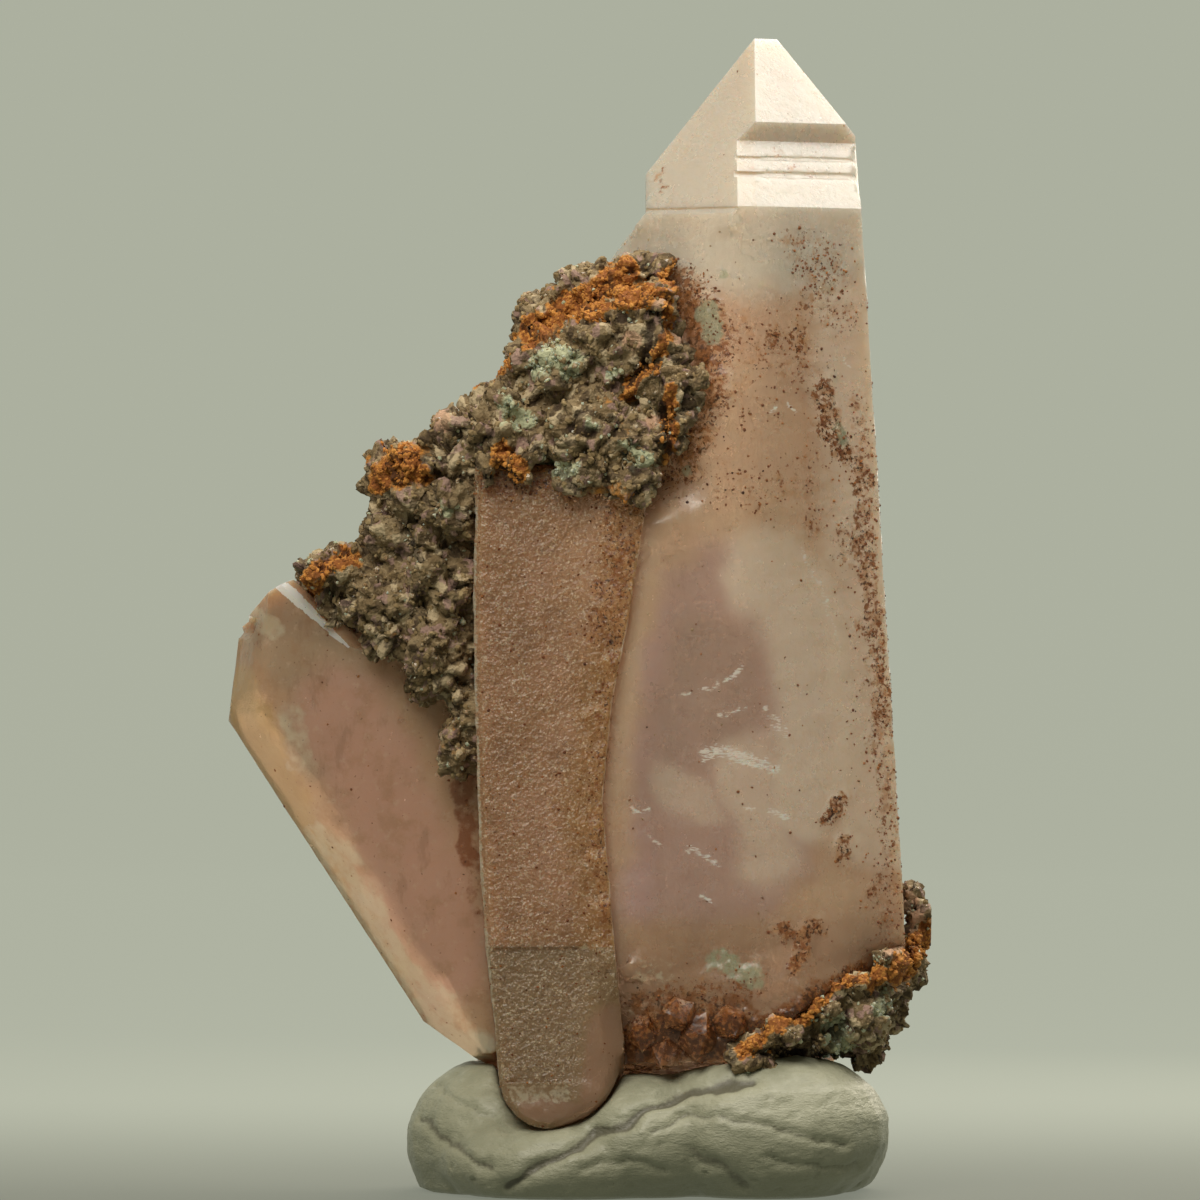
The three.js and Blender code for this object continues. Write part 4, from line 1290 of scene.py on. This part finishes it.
@dataclass
class HostRock:
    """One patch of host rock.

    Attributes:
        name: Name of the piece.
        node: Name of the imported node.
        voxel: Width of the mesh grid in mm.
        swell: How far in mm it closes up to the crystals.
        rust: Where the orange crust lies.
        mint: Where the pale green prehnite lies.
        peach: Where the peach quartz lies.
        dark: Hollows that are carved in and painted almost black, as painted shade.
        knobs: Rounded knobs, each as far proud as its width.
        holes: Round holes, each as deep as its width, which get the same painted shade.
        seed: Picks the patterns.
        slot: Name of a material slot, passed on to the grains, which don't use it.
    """

    name: str
    node: str
    voxel: float = 0.15
    swell: float = 0.2
    rust: tuple[Mark, ...] = ()
    mint: tuple[Mark, ...] = ()
    peach: tuple[Mark, ...] = ()
    dark: tuple[Mark, ...] = ()
    knobs: tuple[Mark, ...] = ()
    holes: tuple[Mark, ...] = ()
    seed: int = 60
    slot: str = "host_rock"

    def build(self) -> Skin:
        """Remesh the rock finely and break its surface up.

        Returns:
            The rough skin.
        """
        skin = Skin(self.name, self.node)
        skin.remesh(self.voxel, self.swell)
        near = rise(path_distance(skin.points, SLENDER_LEFT), 1.6, 0.9) * (skin.points[:, 0] < -5.2)
        skin.points[:, 0] += 0.35 * near * rise(skin.normals[:, 0], 0.4, 0.8)
        skin.settle()
        place = skin.points
        ahead = (place[:, 1] < -1).astype(float)
        bent = place + 0.3 * rough_noise(place, 1.0, self.seed)[:, None]
        block = grain_cells(bent, 1.7, self.seed + 1)
        grain = grain_cells(bent, 0.7, self.seed + 2)
        fine = grain_cells(place, 0.36, self.seed + 4)
        height = 0.7 * block.tilt + 0.34 * grain.tilt + 0.14 * fine.tilt + 0.16 * (0.45 - grain.near)
        height += 0.3 * rough_noise(place, 1.8, self.seed + 3, 5) + 0.16 * (grain.own - 0.5)
        height -= 0.16 * (1 - rise(block.gap, 0.0, 0.16)) + 0.05 * (1 - rise(grain.gap, 0.0, 0.14))
        # Painted shade in the carved joints between the rock's grains
        fissure = 0.55 * (1 - rise(grain.gap, 0.0, 0.2))
        skin.paint("crevice_shade", np.maximum(1 - rise(block.gap, 0.0, 0.16), fissure))
        skin.paint("beige", 1.0 * (grain.own > 0.8))
        skin.paint("mauve", 1.0 * (fine.own > 0.7) * (fine.own < 0.84))
        skin.paint("umber", 1.0 * (fine.own < 0.16))
        height *= 1 - 0.8 * marked(place, self.knobs)
        for mark in self.knobs:
            away = path_distance(place, mark.path) / mark.width
            height += 0.7 * ahead * mark.width * np.sqrt(np.clip(1 - away ** 2, 0, 1))
        for mark in (*self.holes, *self.dark):
            height -= mark.strength * 0.8 * ahead * mark.width * (1 - rise(path_distance(place, mark.path),
                                                                           0.3 * mark.width, mark.width))
        skin.push(height)
        return skin

    def dress(self) -> None:
        """Build the rock, its finish and the grains of other minerals on it."""
        skin = self.build()
        place = skin.points
        warp = warped(place, 1.5, 0.9, self.seed + 11)
        rust = marked(warp, self.rust, 0.5)
        mint = marked(warp, self.mint)
        skin.paint("rust", np.maximum(rust, 0.35 * rise(rough_noise(place, 3.0, self.seed + 7), 0.1, 0.6)))
        skin.paint("mint", mint)
        skin.paint("peach", marked(place, self.peach))
        # Painted shade in the carved hollows and holes
        skin.paint("dark", np.maximum(marked(place, self.dark), marked(place, self.holes)))
        skin.paint("grit", (0.3 + 0.7 * rise(rough_noise(place, 2.0, self.seed + 8), -0.2, 0.5)) * (1 - rust))
        skin.paint("crust", rise(rust, 0.5, 0.9))
        skin.paint("green", 0.03 + rise(mint, 0.3, 0.8))
        skin.dress(HOST_ROCK)
        minerals = (
            ("grit", "grit", GRIT, 5.0, (0.05, 0.2)),
            ("rust", "crust", RUST_GRAINS, 12.0, (0.04, 0.17)),
            ("quartz", "grit", QUARTZ_CHIPS, 1.6, (0.05, 0.17)),
            ("prehnite", "green", PREHNITE, 10.0, (0.05, 0.15)),
        )
        for step, (mineral, mask, finish, density, size) in enumerate(minerals):
            Scatter(f"{self.name}_{mineral}", mask, finish, density, size, self.seed + step, 0.3,
                    self.slot).grow(skin)


def upper_rock() -> HostRock:
    """Rock between the slender crystal's top, the leaning crystal and the main one."""
    return HostRock(
        "upper_rock", "upper_matrix", seed=60,
        rust=(
            Mark(((-2.6, 43.0), (-1.6, 43.7), (-0.6, 44.6), (0.4, 45.2), (1.2, 46.0), (2.3, 46.0)), 1.0),
            Mark(((0.4, 44.0), (2.4, 44.9), (3.8, 45.0)), 0.6),
            Mark(((4.6, 46.0), (5.6, 46.7), (6.1, 45.8)), 0.9),
            Mark(((-6.2, 40.7), (-5.3, 41.2), (-4.2, 41.5)), 0.8),
            Mark(((-4.0, 37.0), (-3.2, 36.4), (-3.0, 35.4)), 0.8),
            Mark(((-9.7, 36.3), (-8.3, 36.4)), 1.4),
            Mark(((-13.6, 30.6), (-12.6, 31.4), (-11.6, 32.2)), 0.8),
            Mark(((4.4, 44.6), (4.1, 42.4), (3.3, 41.2), (2.3, 40.3)), 0.55),
            Mark(((4.3, 40.3), (4.4, 38.2), (4.7, 36.5)), 0.5),
            Mark(((-7.6, 40.0), (-8.6, 38.6)), 0.5),
            Mark(((0.2, 35.2), (2.4, 35.3)), 0.5, 0.6),
        ),
        mint=(
            Mark(((-1.9, 41.4), (-1.1, 42.1), (-0.3, 41.3)), 0.9), Mark(((-3.5, 39.3), (-3.0, 38.8)), 0.9),
            Mark(((-1.8, 36.6), (-0.8, 36.2)), 0.9, 0.9), Mark(((1.5, 41.1),), 0.5),
            Mark(((2.4, 37.4), (3.4, 36.8)), 0.8, 0.8), Mark(((6.1, 44.0),), 0.9),
            Mark(((-6.6, 34.4),), 0.7, 0.7), Mark(((0.8, 38.6),), 0.7, 0.7),
        ),
        peach=(
            Mark(((2.4, 44.7), (3.3, 44.9), (4.3, 44.6)), 0.7), Mark(((0.1, 44.5),), 0.7),
            Mark(((3.6, 38.7),), 0.6), Mark(((2.6, 42.8),), 0.9, 0.8), Mark(((-6.9, 38.8),), 0.9),
            Mark(((4.8, 43.0),), 0.8, 0.8),
        ),
        dark=(
            Mark(((-3.8, 36.2), (-3.2, 35.5)), 0.7), Mark(((3.6, 43.6), (3.2, 41.6), (2.4, 40.6)), 0.4, 0.8),
            Mark(((4.1, 39.6), (4.4, 37.2)), 0.4, 0.8), Mark(((-0.4, 38.4), (0.6, 38.1)), 0.5, 0.8),
            Mark(((2.2, 37.0), (2.8, 36.2)), 0.5, 0.8), Mark(((-9.0, 33.6), (-8.2, 32.4)), 0.5, 0.6),
        ),
        knobs=(
            Mark(((1.1, 43.2),), 0.55), Mark(((0.4, 42.5),), 0.55), Mark(((-1.6, 42.0),), 0.5),
            Mark(((3.3, 44.6), (4.0, 44.5)), 0.5), Mark(((-7.9, 31.4),), 0.8), Mark(((-6.8, 38.9),), 0.7),
        ),
        holes=(
            Mark(((2.1, 43.9),), 0.55), Mark(((3.2, 46.4),), 0.35), Mark(((5.4, 46.2),), 0.4),
            Mark(((-6.8, 32.6),), 0.4),
        ),
    )


def lower_rock() -> HostRock:
    """Rock at the right of the main crystal's foot."""
    return HostRock(
        "lower_rock", "lower_matrix", seed=120, slot="lower_rock",
        rust=(
            Mark(((8.0, 7.4), (9.3, 8.2), (10.4, 9.0), (11.7, 9.8), (12.5, 10.9), (13.4, 11.0),
                  (15.6, 10.8)), 0.6),
            Mark(((15.9, 11.1), (17.3, 12.6), (17.5, 13.2)), 0.9),
        ),
        mint=(
            Mark(((14.4, 11.7),), 0.9), Mark(((12.6, 8.6), (13.2, 7.4)), 0.9, 0.8),
            Mark(((15.2, 9.5),), 0.9, 0.8),
        ),
        peach=(Mark(((16.2, 14.6), (16.8, 13.4), (15.9, 12.4)), 1.3),),
        dark=(Mark(((9.0, 7.3), (11.4, 7.2), (13.4, 6.6)), 0.5, 0.8),),
    )


@dataclass
class PuttyPad:
    """Kneaded pad of putty under the specimen.

    Attributes:
        voxel: Width of the mesh grid in mm.
        folds: Deep folds, seen from the front.
    """

    voxel: float = 0.18
    folds: tuple[Mark, ...] = (
        Mark(((-3.7, 0.6), (-1.0, 2.3), (2.0, 3.8), (4.9, 5.2), (8.4, 5.9)), 0.28, 1.0),
        Mark(((3.5, 3.6), (5.6, 4.2), (8.0, 4.2), (10.5, 3.4), (13.5, 2.9)), 0.16, 0.6),
        Mark(((5.5, 2.6), (7.0, 1.6), (8.2, 0.5)), 0.3, 0.6),
        Mark(((-8.0, 3.9), (-6.3, 2.6), (-4.3, 1.6)), 0.25, 0.7),
        Mark(((-7.4, 5.4), (-5.2, 4.2), (-3.6, 3.4)), 0.14, 0.5),
        Mark(((0.2, 1.6), (2.4, 2.0), (4.2, 1.4)), 0.16, 0.5),
        Mark(((9.4, 2.2), (12.0, 1.6), (14.0, 1.8)), 0.14, 0.5),
    )

    def dress(self) -> None:
        """Build the pad with its folds and wrinkles, and its finish."""
        skin = Skin("putty_cushion", "putty_pad")
        skin.remesh(self.voxel, 0.2)
        place = skin.points
        skin.soften(rise(place[:, 2], 0.0, 1.2) * (0.2 + 0.8 * rise(place[:, 1], -2.0, 2.0)), 90)
        place = skin.points
        ahead = (place[:, 1] < 0).astype(float)
        height = 0.12 * rough_noise(place, 4.0, 81, 3)
        bent = warped(place, 1.6, 0.5, 85)
        level = np.zeros(len(place))
        for fold in self.folds:
            away = path_distance(bent, fold.path) / fold.width
            level = np.maximum(level, fold.strength * np.exp(-away ** 2))
            height += 0.06 * ahead * fold.strength * np.exp(-((away - 3.0) / 1.6) ** 2)
        height -= 0.24 * ahead * level
        turned = np.stack([place[:, 0] * 0.92 + place[:, 2] * 0.4, place[:, 1],
                           4.5 * (place[:, 2] * 0.92 - place[:, 0] * 0.3)], axis=1)
        creases = 1 - np.abs(rough_noise(turned, 2.6, 82, 4))
        height -= 0.035 * rise(creases, 0.93, 1.0)
        height += 0.025 * rough_noise(turned, 1.4, 88, 4) + 0.02 * rough_noise(place, 0.6, 83, 3)
        pits = grain_cells(place, 1.4, 84).near
        height -= 0.12 * (1 - rise(pits, 0.05, 0.16))
        height *= rise(place[:, 2], 0.0, 0.6)
        skin.push(height)
        # Painted shade in the carved folds and creases
        skin.paint("fold", np.maximum(level * ahead, 0.3 * rise(creases, 0.95, 1.0)))
        # Painted shade on the lower part of the pad
        skin.paint("lower_shade", 1 - rise(place[:, 2], 1.5, 6.0))
        skin.dress(PUTTY)


@dataclass
class Studio:
    """Plain pale sweep, soft lights and a level camera with a long lens.

    Attributes:
        lens: Focal length in mm.
        width: Width in mm that the picture shows at the crystals' front.
        centre: Place in mm that the camera looks at.
        pale: Hex colour of the sweep.
        glow: How far the sweep is lit by itself.
        wall: How far behind the specimen, in mm, the sweep starts to rise.
        bend: Radius in mm of the sweep's curve.
        reach: How far in mm the sweep goes to the sides, to the front and up.
        sensor: Width in mm of the camera's sensor.
    """

    lens: float = 300.0
    width: float = 60.0
    centre: tuple[float, float, float] = (1.0, -5.0, 29.85)
    pale: str = "#b3b7a6"
    glow: float = 0.89
    wall: float = 560.0
    bend: float = 160.0
    reach: float = 900.0
    sensor: float = 36.0

    def sweep(self) -> None:
        """Make the floor that curves up into a wall behind the specimen."""
        rows: list[tuple[float, float]] = [(-self.reach, 0.0), (-150.0, 0.0), (0.0, 0.0), (self.wall, 0.0)]
        steps, clearance = 12, 0.02
        for step in range(1, steps + 1):
            angle = step / steps * math.pi / 2
            rows.append((self.wall + self.bend * math.sin(angle), self.bend - self.bend * math.cos(angle)))
        rows.append((self.wall + self.bend, self.reach))
        shape = bmesh.new()
        lines = [[shape.verts.new((x * MM, y * MM, (z - clearance) * MM)) for y, z in rows]
                 for x in (-self.reach, self.reach)]
        for i in range(len(rows) - 1):
            shape.faces.new((lines[0][i], lines[1][i], lines[1][i + 1], lines[0][i + 1]))
        mesh = bpy.data.meshes.new("studio_sweep")
        shape.to_mesh(mesh)
        shape.free()
        mesh.polygons.foreach_set("use_smooth", np.ones(len(mesh.polygons), bool))
        floor = bpy.data.objects.new("studio_sweep", mesh)
        bpy.context.scene.collection.objects.link(floor)
        paper = bpy.data.materials.new("studio_paper")
        paper.use_nodes = True
        tree = paper.node_tree
        tree.nodes.clear()
        place = add_node(tree, "ShaderNodeTexCoord").outputs["Object"]
        back = add_node(tree, "ShaderNodeSeparateXYZ", {0: place}).outputs[1]
        glow = add_node(tree, "ShaderNodeMapRange", {
            "Value": back, "From Min": -0.02, "From Max": 0.1, "To Min": 0.42, "To Max": self.glow,
        }, interpolation_type="SMOOTHSTEP").outputs[0]
        shader = add_node(tree, "ShaderNodeBsdfPrincipled", {
            "Base Color": linear("#3a3b35"), "Roughness": 0.9, "Specular IOR Level": 0.1,
            "Emission Color": linear(self.pale), "Emission Strength": glow,
        })
        add_node(tree, "ShaderNodeOutputMaterial", {"Surface": shader.outputs[0]})
        mesh.materials.append(paper)

    def light(self, name: str, place: tuple[float, float, float], aim: tuple[float, float, float],
              size: tuple[float, float], power: float, tint: str) -> None:
        """Hang one soft light.

        Args:
            name: Name of the light.
            place: Its centre in mm.
            aim: Place in mm that it faces.
            size: Its width and height in mm.
            power: Its power in watts.
            tint: Hex colour of its light.
        """
        lamp = bpy.data.lights.new(name, "AREA")
        lamp.shape = "RECTANGLE"
        lamp.size, lamp.size_y = size[0] * MM, size[1] * MM
        lamp.energy = power
        lamp.color = linear(tint)[:3]
        holder = bpy.data.objects.new(name, lamp)
        holder.location = Vector(place) * MM
        holder.rotation_euler = (Vector(aim) - Vector(place)).to_track_quat("-Z", "Y").to_euler()
        bpy.context.scene.collection.objects.link(holder)

    def camera(self) -> None:
        """Set the level camera so that the picture shows its width at the crystals' front."""
        away = self.lens * self.width / self.sensor
        eye = bpy.data.cameras.new("long_lens")
        eye.lens = self.lens
        eye.sensor_width = self.sensor
        eye.clip_start = 0.01
        eye.clip_end = 5
        holder = bpy.data.objects.new("long_lens", eye)
        holder.location = Vector((self.centre[0], self.centre[1] - away, self.centre[2])) * MM
        holder.rotation_euler = (math.pi / 2, 0, 0)
        bpy.context.scene.collection.objects.link(holder)
        bpy.context.scene.camera = holder

    def build(self) -> None:
        """Set up the whole studio."""
        scene = bpy.context.scene
        scene.view_settings.view_transform = "Standard"
        air = bpy.data.worlds.new("studio_air")
        air.use_nodes = True
        air.node_tree.nodes["Background"].inputs[0].default_value = linear("#c9cabb")
        air.node_tree.nodes["Background"].inputs[1].default_value = 0.2
        scene.world = air
        self.sweep()
        self.light("top_softbox", (75, 25, 190), (0, -2, 35), (130, 130), 0.31, "#fff9f2")
        self.light("front_softbox", (-60, -165, 215), (0, -4, 26), (170, 150), 0.6, "#fdf6ec")
        self.light("back_glow", (50, 110, 90), (2, 0, 36), (120, 120), 0.14, "#fff2e0")
        self.camera()


def main() -> None:
    """Build every sub-assembly in order."""
    logging.basicConfig(level=logging.INFO, format="%(message)s")
    CrystalPair().dress()
    LeaningCrystal().dress()
    upper_rock().dress()
    lower_rock().dress()
    PuttyPad().dress()
    Studio().build()


if __name__ == "__main__":
    main()
